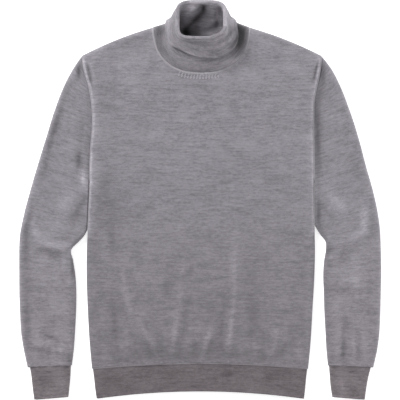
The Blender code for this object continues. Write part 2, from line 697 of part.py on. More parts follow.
def build():
    for thing in list(bpy.data.objects):
        bpy.data.objects.remove(thing)
    sweater = bpy.data.collections.new("turtleneck_sweater")
    bpy.context.scene.collection.children.link(sweater)

    front_neck = neckline(NECK_FRONT, NECK_STEPS, NECK_CLOSE)
    back_neck = neckline(NECK_BACK, BACK_NECK_STEPS, BACK_NECK_CLOSE)
    front = body_panel(front_neck, FRONT_SIDE_STEPS, FRONT_LOWER_ROWS, ROLL, front_height)
    back = body_panel(back_neck, BACK_SIDE_STEPS, BACK_LOWER_ROWS, BACK_ROLL, back_height)
    make_cloth("front", front, grid_faces(front), KNIT_GREY, sweater)
    make_cloth("back", back, [face[::-1] for face in grid_faces(back)], KNIT_GREY, sweater)

    for name, sections, side, folds in (("sleeve_left", SLEEVE_LEFT, -1, LEFT_FOLDS),
                                        ("sleeve_right", SLEEVE_RIGHT, 1, RIGHT_FOLDS)):
        points, faces = sleeve_surface(sections, side, folds)
        make_cloth(name, points, faces, KNIT_GREY, sweater)
    for name, sections, side in (("cuff_left", CUFF_LEFT, -1), ("cuff_right", CUFF_RIGHT, 1)):
        points, faces = cuff_surface(sections, side)
        make_cloth(name, points, faces, BAND_GREY, sweater)

    band = hem_band(np.array(BAND_SHARES), True)
    make_cloth("hem_band_front", band, grid_faces(band), BAND_GREY, sweater)
    band = hem_band(np.array(BAND_BACK_SHARES), False)
    make_cloth("hem_band_back", band, [face[::-1] for face in grid_faces(band)], BAND_GREY, sweater)

    collar = collar_surface(front_neck, back_neck)
    make_cloth("collar", collar, grid_faces(collar, closed=True), COLLAR_GREY, sweater)


build()
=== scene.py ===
import math

import bpy
import numpy as np
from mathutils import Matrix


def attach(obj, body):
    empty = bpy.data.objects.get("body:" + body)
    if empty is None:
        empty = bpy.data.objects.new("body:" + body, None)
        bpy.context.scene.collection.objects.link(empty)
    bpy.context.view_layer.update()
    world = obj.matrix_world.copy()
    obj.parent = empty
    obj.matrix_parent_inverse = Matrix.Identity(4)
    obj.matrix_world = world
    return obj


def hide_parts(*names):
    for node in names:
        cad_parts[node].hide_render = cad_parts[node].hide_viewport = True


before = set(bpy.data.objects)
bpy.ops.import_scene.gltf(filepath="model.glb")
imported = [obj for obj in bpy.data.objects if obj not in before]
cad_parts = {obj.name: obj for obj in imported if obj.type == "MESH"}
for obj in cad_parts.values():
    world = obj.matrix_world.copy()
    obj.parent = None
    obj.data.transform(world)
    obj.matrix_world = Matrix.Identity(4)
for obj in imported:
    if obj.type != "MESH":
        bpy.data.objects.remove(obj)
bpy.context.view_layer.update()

bpy.ops.object.select_all(action="DESELECT")

# Front. One fully fashioned panel of fine melange jersey, knitted from the hem seam up to the
# shoulders. It lies over the back, rounded at its side seams and lifted a little at the neck, and its
# lower part falls in soft gathers on the tighter hem band. Sizes are in millimetres.
MM = 0.001
WALL = 1.8  # thickness of the knit
LAY_CENTRE = (0.23, -2.74)  # the middle of the laid garment
FOLD_Z = 6.0  # height of the side seams
SIDE_SEAM = 0.7  # how far the two panels lie above and below their seam
BODY_HEIGHT = 15.0  # top of the front next to its rounded edge
BODY_CROWN = 5.0  # how much higher its middle lies
TOP_ROLL = 11.0  # width of the rounded upper edge
PRESSED_ROLL = 8.0  # how much narrower that is beside a sleeve
NECK_LIFT = 4.0  # how far the front rises to the collar
NECK_LIFT_Y = 330.0
NECK_LIFT_HALF = (100.0, 105.0)
NECK_LIFT_REACH = 1.6  # in halves, where the lift begins
ARM_EDGE_Z = 13.8  # the front's edge along the open armhole
ARMHOLE_END = 14.0  # length over which the armhole closes at its two ends
ARMPIT_Y = 31.0
SIDE_LIFT = 4.5  # how much higher the side seam lies where the sleeve presses against it
SLEEVE_LEAVES_Y = -78.0  # below here the sleeve lies free of the body
SIDE_BLEND = 20.0  # lengths over which the edge passes from the one to the other, at the sides
SHOULDER_BLEND = 10.0  # and at the shoulders
CAP_Y = 246.0  # the sleeve's first knitted row meets the armhole here
SHOULDER_Y = 273.5
SHOULDER_Z = 4.8
SHOULDER_BULGE = 4.0  # how far the shoulder line curves out between its ends
HEM_SEAM_Y = -320.0  # at the sides
HEM_SEAM_ARCH = 10.0  # how much higher the seam lies in the middle
HEM_HALF = 205.0  # from the middle to the end of that arch
HEM_LEFT_OVER = 0.12  # share of the front's fullness that is left at the hem seam
HEM_HEIGHT = 12.0  # top of the hem band
SEAM_STEP = 0.2  # how much higher the front ends than the band begins
HEM_DROP = 48.0  # the front comes down to the band over this length
BODY_SLACK = 0.28  # height of the knit's slight waviness
NECK_X = 2.2
BODY_CROWDING = 1.2  # an exponent: above 1, the rows lie closer towards the hem
SHOULDER_SIDE = 122.0  # from the side seam to the columns that run up into the neck


def table(columns, *rows):
    """Rows of numbers as one array for each named column."""
    return dict(zip(columns.split(), np.array(rows, float).T))


BODY_EDGE = table(
    "y left right",
    (-321, -204.8, 205.0),
    (-275, -209.0, 209.4),
    (-206, -213.0, 213.6),
    (-138, -215.2, 217.3),
    (-92, -214.7, 218.2),
    (-56, -212.8, 217.2),
    (22, -209.4, 216.2),
    (94, -207.4, 215.4),
    (150, -203.2, 214.8),
    (193, -206.2, 216.6),
    (214, -210.0, 221.0),
    (246, -219.3, 227.2),
    (273.5, -223.8, 230.4),
)
NECK_FRONT = table(
    "out y",
    (0, 239.5),
    (32.5, 243.2),
    (61.7, 257.0),
    (81.5, 280.2),
    (89.2, 306.0),
    (92.0, 327.0),
)
# A fold runs from (x0, y0) to (x1, y1), and a height below 0 is a trough.
FOLD_COLUMNS = "x0 y0 x1 y1 width height"
BODY_FOLDS = table(
    FOLD_COLUMNS,
    (-147, -150, -130, -208, 13, 2.2),
    (-130, -208, -78, -309, 13, 3.6),
    (-162, -225, -159, -308, 12, -2.6),
    (-38, -60, -38, -190, 14, 1.8),
    (-38, -190, -54, -300, 13, 3.2),
    (-16, -120, -20, -250, 13, -2.0),
    (24, -250, 2, -308, 12, 3.0),
    (66, -100, 62, -215, 13, 2.2),
    (62, -215, 52, -308, 13, 3.6),
    (92, -120, 98, -290, 13, -2.2),
    (156, -268, 134, -310, 13, 3.0),
    (182, -220, 180, -305, 13, -2.4),
    (-170, -48, -170, -136, 13, 1.8),
    (-121, 299, -123, 235, 12, 1.0),
    (-104, 301, -100, 240, 10.1, -0.8),
    (100, 281, 190, 279, 10, 1.8),
)
# Small creases that only the finished cloth has: gathers at the hem seam and faint drag lines.
BODY_CREASES = table(
    FOLD_COLUMNS,
    (-217, 259, -204, 216, 2.6, -2.9),
    (224, 259, 215, 226, 2.6, -2.4),
    (-145, -130, -142, -172, 6.1, 3.1),
    (-142, -172, -130, -225, 5.7, 3.1),
    (-117, -229, -96, -267, 5.3, 2.9),
    (-96, -267, -79, -303, 4.9, 3.0),
    (-130, -263, -107, -303, 4.2, 1.8),
    (-31, -111, -35, -176, 6.1, 2.3),
    (-35, -176, -43, -225, 5.7, 2.9),
    (-43, -225, -54, -301, 5.3, 3.8),
    (20, -248, 3, -303, 5.3, 3.6),
    (66, -83, 64, -191, 6.8, 2.9),
    (64, -191, 52, -305, 5.3, 4.2),
    (145, -233, 142, -276, 5.3, 2.5),
    (142, -276, 128, -307, 5.3, 3.0),
    (-166, -191, -155, -286, 8, -2.6),
    (-136, -238, -113, -297, 4.8, -2.3),
    (-83, -238, -67, -295, 7.6, -1.8),
    (-26, -225, -37, -290, 6.5, -1.4),
    (-60, -161, -62, -191, 6.6, -2.1),
    (-16, -126, -18, -145, 5.7, -2.0),
    (-18, -183, -20, -202, 5.7, -1.8),
    (31, -257, 12, -299, 5.7, -1.1),
    (75, -229, 69, -297, 6.6, -0.80),
    (47, -191, 41, -286, 6.6, -1.8),
    (96, -162, 100, -267, 11.4, -2.0),
    (174, -238, 172, -282, 7.6, -1.8),
    (159, -276, 155, -305, 5.7, -1.5),
    (-37, -43, -37, -77, 7.6, 1.3),
    (69, -48, 67, -86, 7.6, 1.3),
    (-183, -67, -181, -119, 6.6, 1.8),
    (-166, -29, -164, -119, 5.7, -1.8),
    (-151, -276, -136, -305, 4.2, 1.7),
    (-178, -276, -181, -307, 4.8, 1.8),
    (-166, -286, -162, -307, 4.2, -1.5),
    (-9, -276, -14, -305, 4.6, -1.6),
    (105, -267, 102, -307, 4.9, 1.6),
    (121, -257, 117, -301, 5.7, -1.5),
    (189, -257, 185, -305, 4.8, 1.6),
    (176, 250, 168, 178, 4.9, -1.3),
    (153, 246, 147, 204, 7.6, 1.0),
    (-94, 208, -18, 204, 4.6, -0.7),
    (-18, 212, 54, 208, 4.6, -0.6),
    (-155, 117, -75, 107, 7.6, -0.7),
    (-136, -10, -56, 7, 8.5, 0.7),
    (20, 18, 119, 10, 9.5, -0.7),
    (-94, 60, 10, 52, 8.5, 0.6),
    (77, 94, 191, 107, 8.5, 0.6),
)
# Ridges where seam allowances lie under the cloth: how far in from the edge, and how wide to both sides.
RIDGE_COLUMNS = "place outer inner rise"
NECK_RIDGES = table(RIDGE_COLUMNS, (2.0, 6.0, 3.0, 2.6), (7.0, 3.0, 4.0, 0.5))
ARM_RIDGE = table(RIDGE_COLUMNS, (1.5, 1.8, 3.4, 3.6), (8.0, 3.5, 7.0, 0.7))
HEM_RIDGE = table(RIDGE_COLUMNS, (3.6, 1.8, 2.4, 0.5))
PUCKER = 0.25  # the neckline's ridges swell and sink by this share, most at the middle
PUCKER_PITCH = 8.3
PUCKER_HALF = 45.0
# Painted highlight and painted shade, as shares of the whole shade: for each millimetre of relief,
# paler on ridges and darker in troughs; a painted highlight along the ridges of the neckline and the
# armholes; and at the hem seam a painted pale line over the shadow of the step onto the band, with
# painted shade and light across its small gathers.
PAINTED_SHADE_PER_MM = 0.055
NECK_PALE = 0.15
ARM_PALE_LEFT = 0.68
ARM_PALE_RIGHT = 0.44
HEM_EDGE_PALE = 0.25
HEM_EDGE_WIDTH = 0.9
HEM_GATHER_SHADE = 0.05
HEM_GATHER_PALE = 0.03
# Painted shade, darker down towards the hem and paler at the shoulders, as the light falls off: each
# row adds its shade to the body, none at the first height and all of it from the second one on.
BODY_TONES = ((60.0, -200.0, -0.09), (130.0, 0.0, -0.05), (200.0, 250.0, 0.05))
# Painted shade and painted highlights, placed as the folds and seams are: height is a share of the whole
# shade.
BODY_PAINTED_SHADING = table(
    FOLD_COLUMNS,
    (-216, 244, -202, 210, 1.9, -0.34),
    (223, 257, 216, 223, 1.9, -0.3),
    (-189, 231, -151, 178, 22.8, -0.05),
    (-136, 113, -128, 75, 17.1, -0.05),
    (-185, 41, -180, -28, 15.2, -0.07),
    (-162, -10, -140, -69, 13.3, -0.05),
    (-124, 265, -119, 242, 9.5, 0.05),
    (181, 94, 185, 18, 15.2, 0.03),
    (1, -199, 39, -200, 15.2, -0.05),
    (96, -172, 100, -267, 17.1, -0.05),
    (-66, -276, -60, -290, 9.5, -0.04),
    (-197, -191, -191, -297, 7.6, -0.08),
    (191, -191, 197, -290, 9.5, -0.05),
    (-197, 56, -204, -96, 13.3, -0.04),
    (-159, -48, -155, -191, 13.3, -0.04),
    (-151, -210, -149, -286, 7.6, -0.05),
    (-94, -191, -90, -267, 11.4, -0.03),
    (-31, -181, -39, -286, 5.7, 0.05),
    (67, -191, 60, -286, 5.7, 0.04),
    (-170, -309, -56, -309, 5.7, -0.05),
    (-37, -307, 134, -307, 5.7, -0.05),
    (-181, 181, -197, 178, 7.6, -0.05),
    (-94, 208, 1, 208, 11.4, -0.02),
    (-178, 174, -166, -96, 26.6, -0.08),
    (-197, 18, -195, -77, 11.4, -0.06),
    (-170, -297, 172, -294, 13.3, -0.13),
    (210, -119, 204, -286, 6.1, 0.09),
    (-181, 290, -75, 326, 7.6, -0.2),
    (92, 326, 225, 275, 7.6, -0.22),
    (227, 265, 218, 223, 4.2, 0.12),
    (7, 231, 86, 257, 11.4, 0.18),
    (88, 261, 100, 299, 7.6, 0.1),
    (-121, 303, -119, 269, 9.5, 0.05),
    (-85, 257, -56, 238, 7.6, 0.05),
    (191, 204, 197, 174, 13.3, 0.06),
    (96, -1, 130, -28, 11.4, -0.05),
    (-50, -275, -47, -212, 5.7, 0.1),
    (-214, 257, -209, 240, 2.5, -0.6),
    (-209, 240, -205, 223, 2.3, -0.45),
    (-209, 261, -202, 235, 2.5, 0.16),
    (222, 259, 217, 240, 2.3, -0.4),
    (217, 240, 213, 223, 2.1, -0.3),
    (-140, -176, -132, -240, 8.5, 0.05),
    (-64, -200, -69, -248, 7.6, -0.05),
    (-26, -206, -29, -257, 7.6, -0.05),
)


def smooth(at, keys, values):
    """A cubic Hermite curve through the rows of a table, whose keys rise."""
    keys = np.asarray(keys, float)
    values = np.asarray(values, float)
    at = np.clip(at, keys[0], keys[-1])
    slope = np.gradient(values, keys)
    i = np.clip(np.searchsorted(keys, at, side="right") - 1, 0, len(keys) - 2)
    span = keys[i + 1] - keys[i]
    t = (at - keys[i]) / span
    start = (2 * t**3 - 3 * t**2 + 1) * values[i]
    leave = (t**3 - 2 * t**2 + t) * span * slope[i]
    end = (3 * t**2 - 2 * t**3) * values[i + 1]
    arrive = (t**3 - t**2) * span * slope[i + 1]
    return start + leave + end + arrive


def ease(t):
    t = np.clip(t, 0.0, 1.0)
    return t * t * (3 - 2 * t)


def rounded(distance, width):
    """The height share of a quarter-round edge, this far in from it."""
    a = np.clip(1 - distance / width, 0.0, 1.0)
    return np.sqrt(1 - a * a)


def length_along(points):
    steps = np.linalg.norm(np.diff(points, axis=0), axis=1)
    return np.concatenate([[0.0], np.cumsum(steps)])


def at_lengths(points, lengths):
    run = length_along(points)
    return np.stack([np.interp(lengths, run, axis) for axis in points.T], axis=1)


def from_line(x, y, x0, y0, x1, y1):
    """The share of a straight line that lies nearest to each place, and how far off the line it is."""
    dx = x1 - x0
    dy = y1 - y0
    t = np.clip(((x - x0) * dx + (y - y0) * dy) / (dx * dx + dy * dy), 0.0, 1.0)
    return t, np.hypot(x - x0 - t * dx, y - y0 - t * dy)


def folded(x, y, folds):
    """The height that soft folds add: the highest ridge and the deepest trough at each place."""
    ridge = np.zeros(np.shape(x))
    trough = np.zeros(np.shape(x))
    for *line, width, height in zip(*folds.values()):
        _, away = from_line(x, y, *line)
        fold = height * np.exp(-((away / width) ** 2))
        ridge = np.maximum(ridge, fold)
        trough = np.minimum(trough, fold)
    return ridge + trough


def creased(x, y, creases):
    """Small creases, which fade towards both ends."""
    total = np.zeros(np.shape(x))
    for *line, width, height in zip(*creases.values()):
        t, away = from_line(x, y, *line)
        total = total + height * (0.4 + 0.6 * np.sin(math.pi * t)) * np.exp(-((away / width) ** 2))
    return total


def slack(x, y, height):
    """The slight waviness of knit that has been laid down by hand."""
    waves = (np.sin(x / 23.0 + 1.3 * np.sin(y / 61.0)) * np.sin(y / 37.0 + 0.8)
             + 0.7 * np.sin(x / 41.0 - y / 29.0 + 2.1) + 0.5 * np.sin(x / 13.0 + y / 71.0 + 0.4))
    return height * waves


def body_left(y):
    return smooth(y, BODY_EDGE["y"], BODY_EDGE["left"])


def body_right(y):
    return smooth(y, BODY_EDGE["y"], BODY_EDGE["right"])


def neckline(shape, steps, close):
    """A whole neckline from the left shoulder to the right one, in plan."""
    rows = np.stack([shape["out"], shape["y"]], axis=1)
    run = length_along(rows)
    fine = np.linspace(0.0, run[-1], 600)
    curve = np.stack([smooth(fine, run, rows[:, 0]), smooth(fine, run, rows[:, 1])], axis=1)
    whole = length_along(curve)[-1]
    stations = np.linspace(0.0, whole - close[0], steps + 1)
    stations = np.concatenate([stations, whole - np.array(close[1:])])
    half = at_lengths(curve, stations)
    return np.concatenate([half[::-1] * (-1, 1), half[1:]]) + (NECK_X, 0)


def bulge(share):
    """How far the shoulder line curves out at shares of its way from the sleeve to the neck."""
    share = np.clip(share, 0.0, 1.0)
    return SHOULDER_BULGE * 4 * share * (1 - share)


def below_shoulder(x, y):
    """How far a place lies below the line of the nearer shoulder."""
    rise = NECK_FRONT["y"][-1] - SHOULDER_Y
    half = NECK_FRONT["out"][-1]
    run_left = NECK_X - half - body_left(SHOULDER_Y)
    run_right = body_right(SHOULDER_Y) - NECK_X - half
    along_left = (x - body_left(SHOULDER_Y)) / run_left
    along_right = (body_right(SHOULDER_Y) - x) / run_right
    left = SHOULDER_Y + rise * along_left + bulge(along_left) - y
    right = SHOULDER_Y + rise * along_right + bulge(along_right) - y
    return np.maximum(np.minimum(left, right), 0.0) * math.cos(math.atan(rise / run_left))


def armhole_open(y):
    """0 where front and back meet in a seam, 1 along the open armhole."""
    return rounded(np.maximum(np.minimum(y - ARMPIT_Y, SHOULDER_Y - y), 0.0), ARMHOLE_END)


def seam_height(y):
    """Height of the seam that front and back share, up the sides and along the shoulders."""
    pressed = SIDE_LIFT * beside_sleeve(y) * (1 - ease((y - ARMPIT_Y) / SIDE_BLEND))
    return FOLD_Z + (SHOULDER_Z - FOLD_Z) * ease((y - ARMPIT_Y) / (SHOULDER_Y - ARMPIT_Y)) + pressed


def from_neckline(x, y):
    """The distance of each place from the front's neckline, in plan."""
    edge = neckline(NECK_FRONT, 60, (4.0, 0.0))
    away = np.full(np.shape(x), np.inf)
    for start, end in zip(edge[:-1], edge[1:]):
        away = np.minimum(away, from_line(x, y, *start, *end)[1])
    return away


def ridges(away, shape):
    """Rounded ridges that run along an edge, at these distances from it."""
    total = 0.0
    for place, outer, inner, rise in zip(*shape.values()):
        width = np.where(away < place, outer, inner)
        total = total + rise * np.exp(-(((away - place) / width) ** 2))
    return total


def aside(x, y):
    """How far in from the body's nearer side edge a place lies."""
    return np.maximum(np.minimum(x - body_left(y), body_right(y) - x), 0.0)


def beside_sleeve(y):
    """1 where the body's edge lies against the sleeve, 0 below and at the shoulder's end."""
    return ease((y - SLEEVE_LEAVES_Y) / SIDE_BLEND) * ease((SHOULDER_Y - y) / SHOULDER_BLEND)


def welts(x, y):
    """What the seam allowances inside add: along the neckline, the armholes and the hem seam."""
    middle = np.exp(-((x - NECK_X) / PUCKER_HALF) ** 2)
    pucker = 1 + PUCKER * np.sin(x * (2 * math.pi / PUCKER_PITCH)) * middle
    total = pucker * ridges(from_neckline(x, y), NECK_RIDGES)
    total = total + beside_sleeve(y) * ridges(aside(x, y), ARM_RIDGE)
    return total + ridges(y - hem_seam(x), HEM_RIDGE)


def arched(x, arch):
    return arch * np.clip(1 - (x / HEM_HALF) ** 2, 0.0, 1.0)


def hem_seam(x):
    return HEM_SEAM_Y + arched(x, HEM_SEAM_ARCH)


def front_height(x, y):
    """Height of the front's outer face, with the folds and creases."""
    left = body_left(y)
    right = body_right(y)
    across = np.clip((2 * x - left - right) / (right - left), -1.0, 1.0)
    top = BODY_HEIGHT + BODY_CROWN * (1 - across**4)
    from_neck = np.hypot((x - NECK_X) / NECK_LIFT_HALF[0], (y - NECK_LIFT_Y) / NECK_LIFT_HALF[1])
    top = top + NECK_LIFT * ease(NECK_LIFT_REACH - from_neck)
    top = top + folded(x, y, BODY_FOLDS) + creased(x, y, BODY_CREASES) + slack(x, y, BODY_SLACK)
    band = HEM_HEIGHT + SEAM_STEP
    top = band + (top - band) * (HEM_LEFT_OVER + (1 - HEM_LEFT_OVER) * ease((y - hem_seam(x)) / HEM_DROP))
    top = top + welts(x, y)
    edge = seam_height(y) + SIDE_SEAM + (ARM_EDGE_Z - seam_height(y)) * armhole_open(y)
    roll = TOP_ROLL - PRESSED_ROLL * beside_sleeve(y) * (1 - armhole_open(y))
    return edge + (top - edge) * rounded(aside(x, y), roll) * rounded(below_shoulder(x, y), TOP_ROLL)


def painted_relief_shade(relief):
    """Painted shade that follows the relief: a painted highlight on a ridge and painted shade in a
    trough.
    """
    return PAINTED_SHADE_PER_MM * relief


def ridge_share(away, shape):
    """How much of a ridge's full height there is at these distances from its edge."""
    return ridges(away, shape) / shape["rise"][0]


def uneven(y):
    """How unevenly the painted highlight along an armhole's welt runs along its way, about 1."""
    return (1 + 0.16 * np.sin(y / 4.7) * np.sin(y / 17.0) + 0.14 * np.sin(y / 2.3 + 1.0)
            + 0.12 * np.sin(y / 31.0))


def body_shade(x, y):
    """The front's painted shading: painted highlights on ridges and welts, painted shade in troughs and
    towards the hem.
    """
    shade = 1 + creased(x, y, BODY_PAINTED_SHADING) + painted_relief_shade(creased(x, y, BODY_CREASES))
    for start, end, tone in BODY_TONES:
        shade = shade + tone * ease((y - start) / (end - start))
    shade = shade + NECK_PALE * ridge_share(from_neckline(x, y), NECK_RIDGES)
    arm_pale = np.where(x < 0, ARM_PALE_LEFT, ARM_PALE_RIGHT)
    shade = shade + arm_pale * uneven(y) * beside_sleeve(y) * ridge_share(aside(x, y), ARM_RIDGE)
    above_hem = y - hem_seam(x)
    gathered = HEM_GATHER_SHADE * np.sin(x / 1.35 + np.sin(x / 9.0)) + HEM_GATHER_PALE
    shade = shade + gathered * ridge_share(above_hem, HEM_RIDGE)
    return shade + HEM_EDGE_PALE * np.exp(-((above_hem / HEM_EDGE_WIDTH) ** 2))


def body_panel(neck, shoulder_steps, lower_rows, arm_rows, roll, height):
    """A body panel as a grid of points, from the hem seam up to the shoulders and the neckline."""
    roll = np.array(roll)
    corners = [np.array((edge(SHOULDER_Y), SHOULDER_Y)) for edge in (body_left, body_right)]
    shoulder = np.linalg.norm(neck[0] - corners[0])
    along = np.concatenate([roll[:-1], np.linspace(roll[-1], shoulder, shoulder_steps + 1)]) / shoulder
    out = np.column_stack([np.zeros(len(along) - 1), bulge(along[:-1])])
    top = np.concatenate([
        corners[0] + along[:-1, None] * (neck[0] - corners[0]) + out,
        neck,
        (corners[1] + along[:-1, None] * (neck[-1] - corners[1]) + out)[::-1],
    ])
    width = body_right(0.0) - body_left(0.0)
    side = np.concatenate([roll[:-1], np.linspace(roll[-1], SHOULDER_SIDE, shoulder_steps + 1)]) / width
    middle = np.linspace(side[-1], 1 - side[-1], len(neck))
    u = np.concatenate([side[:-1], middle, 1 - side[-2::-1]])
    plan = []
    for v in np.linspace(0.0, 1.0, lower_rows + 1)[:-1] ** BODY_CROWDING:
        x = body_left(HEM_SEAM_Y) + u * (body_right(HEM_SEAM_Y) - body_left(HEM_SEAM_Y))
        y = hem_seam(x) * (1 - v) + ARMPIT_Y * v
        x = body_left(y) + u * (body_right(y) - body_left(y))
        plan.append(np.stack([x, y], axis=1))
    pit_left = body_left(ARMPIT_Y)
    pit_right = body_right(ARMPIT_Y)
    pit = np.stack([pit_left + u * (pit_right - pit_left), np.full(len(u), ARMPIT_Y)], axis=1)
    arm_y = np.linspace(ARMPIT_Y, SHOULDER_Y - roll[-1], arm_rows)
    for y in np.concatenate([arm_y, SHOULDER_Y - roll[-2::-1]]):
        t = (y - ARMPIT_Y) / (SHOULDER_Y - ARMPIT_Y)
        row = (1 - t) * pit + t * top
        bend_left = np.array((body_left(y), y)) - row[0]
        bend_right = np.array((body_right(y), y)) - row[-1]
        plan.append(row + (1 - u[:, None]) * bend_left + u[:, None] * bend_right)
    plan = np.array(plan)
    return np.dstack([plan, height(plan[..., 0], plan[..., 1])])


def cloth_map(grid):
    """Lengths along the cloth in metres: across it from its middle column, and up from its first row."""
    across = np.linalg.norm(np.diff(grid, axis=1), axis=2)
    across = np.concatenate([np.zeros((len(grid), 1)), np.cumsum(across, axis=1)], axis=1)
    across = across - across[:, across.shape[1] // 2][:, None]
    along = np.linalg.norm(np.diff(grid, axis=0), axis=2).mean(axis=1)
    along = np.concatenate([[0.0], np.cumsum(along)])
    return np.dstack([across, np.broadcast_to(along[:, None], across.shape)]) * MM


def grid_cloth(name, grid, flip=False, closed=False, welded_from=None, shade=1.0, flat=None):
    """A wall of cloth on a grid of points. closed joins its last column to its first; welded_from
    does so from that row on, and leaves a slit above it. flat gives each point's place on the cloth."""
    rows, columns, _ = grid.shape
    if flat is None:
        flat = cloth_map(np.concatenate([grid, grid[:, :1]], axis=1) if closed else grid)
    shade = np.broadcast_to(shade, (rows, columns))
    vertices = []
    shades = []
    index = np.zeros((rows, columns + 1), int)
    for i in range(rows):
        for j in range(columns):
            if welded_from is not None and i >= welded_from and j == columns - 1:
                index[i, j] = index[i, 0]
                continue
            index[i, j] = len(vertices)
            vertices.append((grid[i, j] - (*LAY_CENTRE, 0.0)) * MM)
            shades.append(shade[i, j])
        index[i, columns] = index[i, 0]
    faces = []
    corners = []
    for i in range(rows - 1):
        for j in range(columns if closed else columns - 1):
            ring = [(i, j), (i, j + 1), (i + 1, j + 1), (i + 1, j)]
            ring = ring[::-1] if flip else ring
            faces.append([int(index[place]) for place in ring])
            corners.extend(flat[place] for place in ring)
    mesh = bpy.data.meshes.new(name)
    mesh.from_pydata(np.array(vertices).tolist(), [], faces)
    layer = mesh.uv_layers.new(name="cloth")
    layer.data.foreach_set("uv", np.array(corners, np.float32).ravel())
    # The shade attribute holds each point's painted shade and painted highlight, as a share of its
    # colour.
    painted_shading = mesh.attributes.new("shade", "FLOAT", "POINT")
    painted_shading.data.foreach_set("value", np.array(shades, np.float32))
    mesh.shade_smooth()
    cloth = bpy.data.objects.new(name, mesh)
    bpy.context.scene.collection.objects.link(cloth)
    wall = cloth.modifiers.new("wall", "SOLIDIFY")
    wall.thickness = WALL * MM
    wall.offset = -1.0
    wall.use_even_offset = True
    bpy.context.view_layer.objects.active = cloth
    bpy.ops.object.modifier_apply(modifier="wall")
    return cloth


class Value:
    """A number that varies over the cloth, as a socket that takes part in sums."""

    def __init__(self, finish, socket):
        self.finish = finish
        self.socket = socket

    def maths(self, operation, *others):
        inputs = dict(enumerate((self, *others)))
        node = self.finish.add("ShaderNodeMath", {"operation": operation}, inputs)
        return Value(self.finish, node.outputs[0])

    def __add__(self, other):
        return self.maths("ADD", other)

    def __sub__(self, other):
        return self.maths("SUBTRACT", other)

    def __rsub__(self, other):
        return Value(self.finish, self.finish.add("ShaderNodeMath", {"operation": "SUBTRACT"},
                                                  {0: other, 1: self}).outputs[0])

    def __mul__(self, other):
        return self.maths("MULTIPLY", other)

    __radd__ = __add__
    __rmul__ = __mul__


class Finish:
    """One material and the nodes that make it."""

    def __init__(self, name):
        self.material = bpy.data.materials.new(name)
        self.material.use_nodes = True
        self.tree = self.material.node_tree
        self.shader = self.tree.nodes["Principled BSDF"]

    def add(self, kind, settings, inputs):
        node = self.tree.nodes.new(kind)
        for key, value in settings.items():
            setattr(node, key, value)
        self.feed(node, inputs)
        return node

    def feed(self, node, inputs):
        for key, value in inputs.items():
            value = getattr(value, "socket", value)
            if isinstance(value, bpy.types.NodeSocket):
                self.tree.links.new(value, node.inputs[key])
            else:
                node.inputs[key].default_value = value


PLAIN = (1.0, 1.0, 1.0, 1.0)
WARMED = (1.005, 0.993, 0.974, 1.0)  # the tint that the yarn takes on towards the hem
BUMP_DEPTH = 0.0004


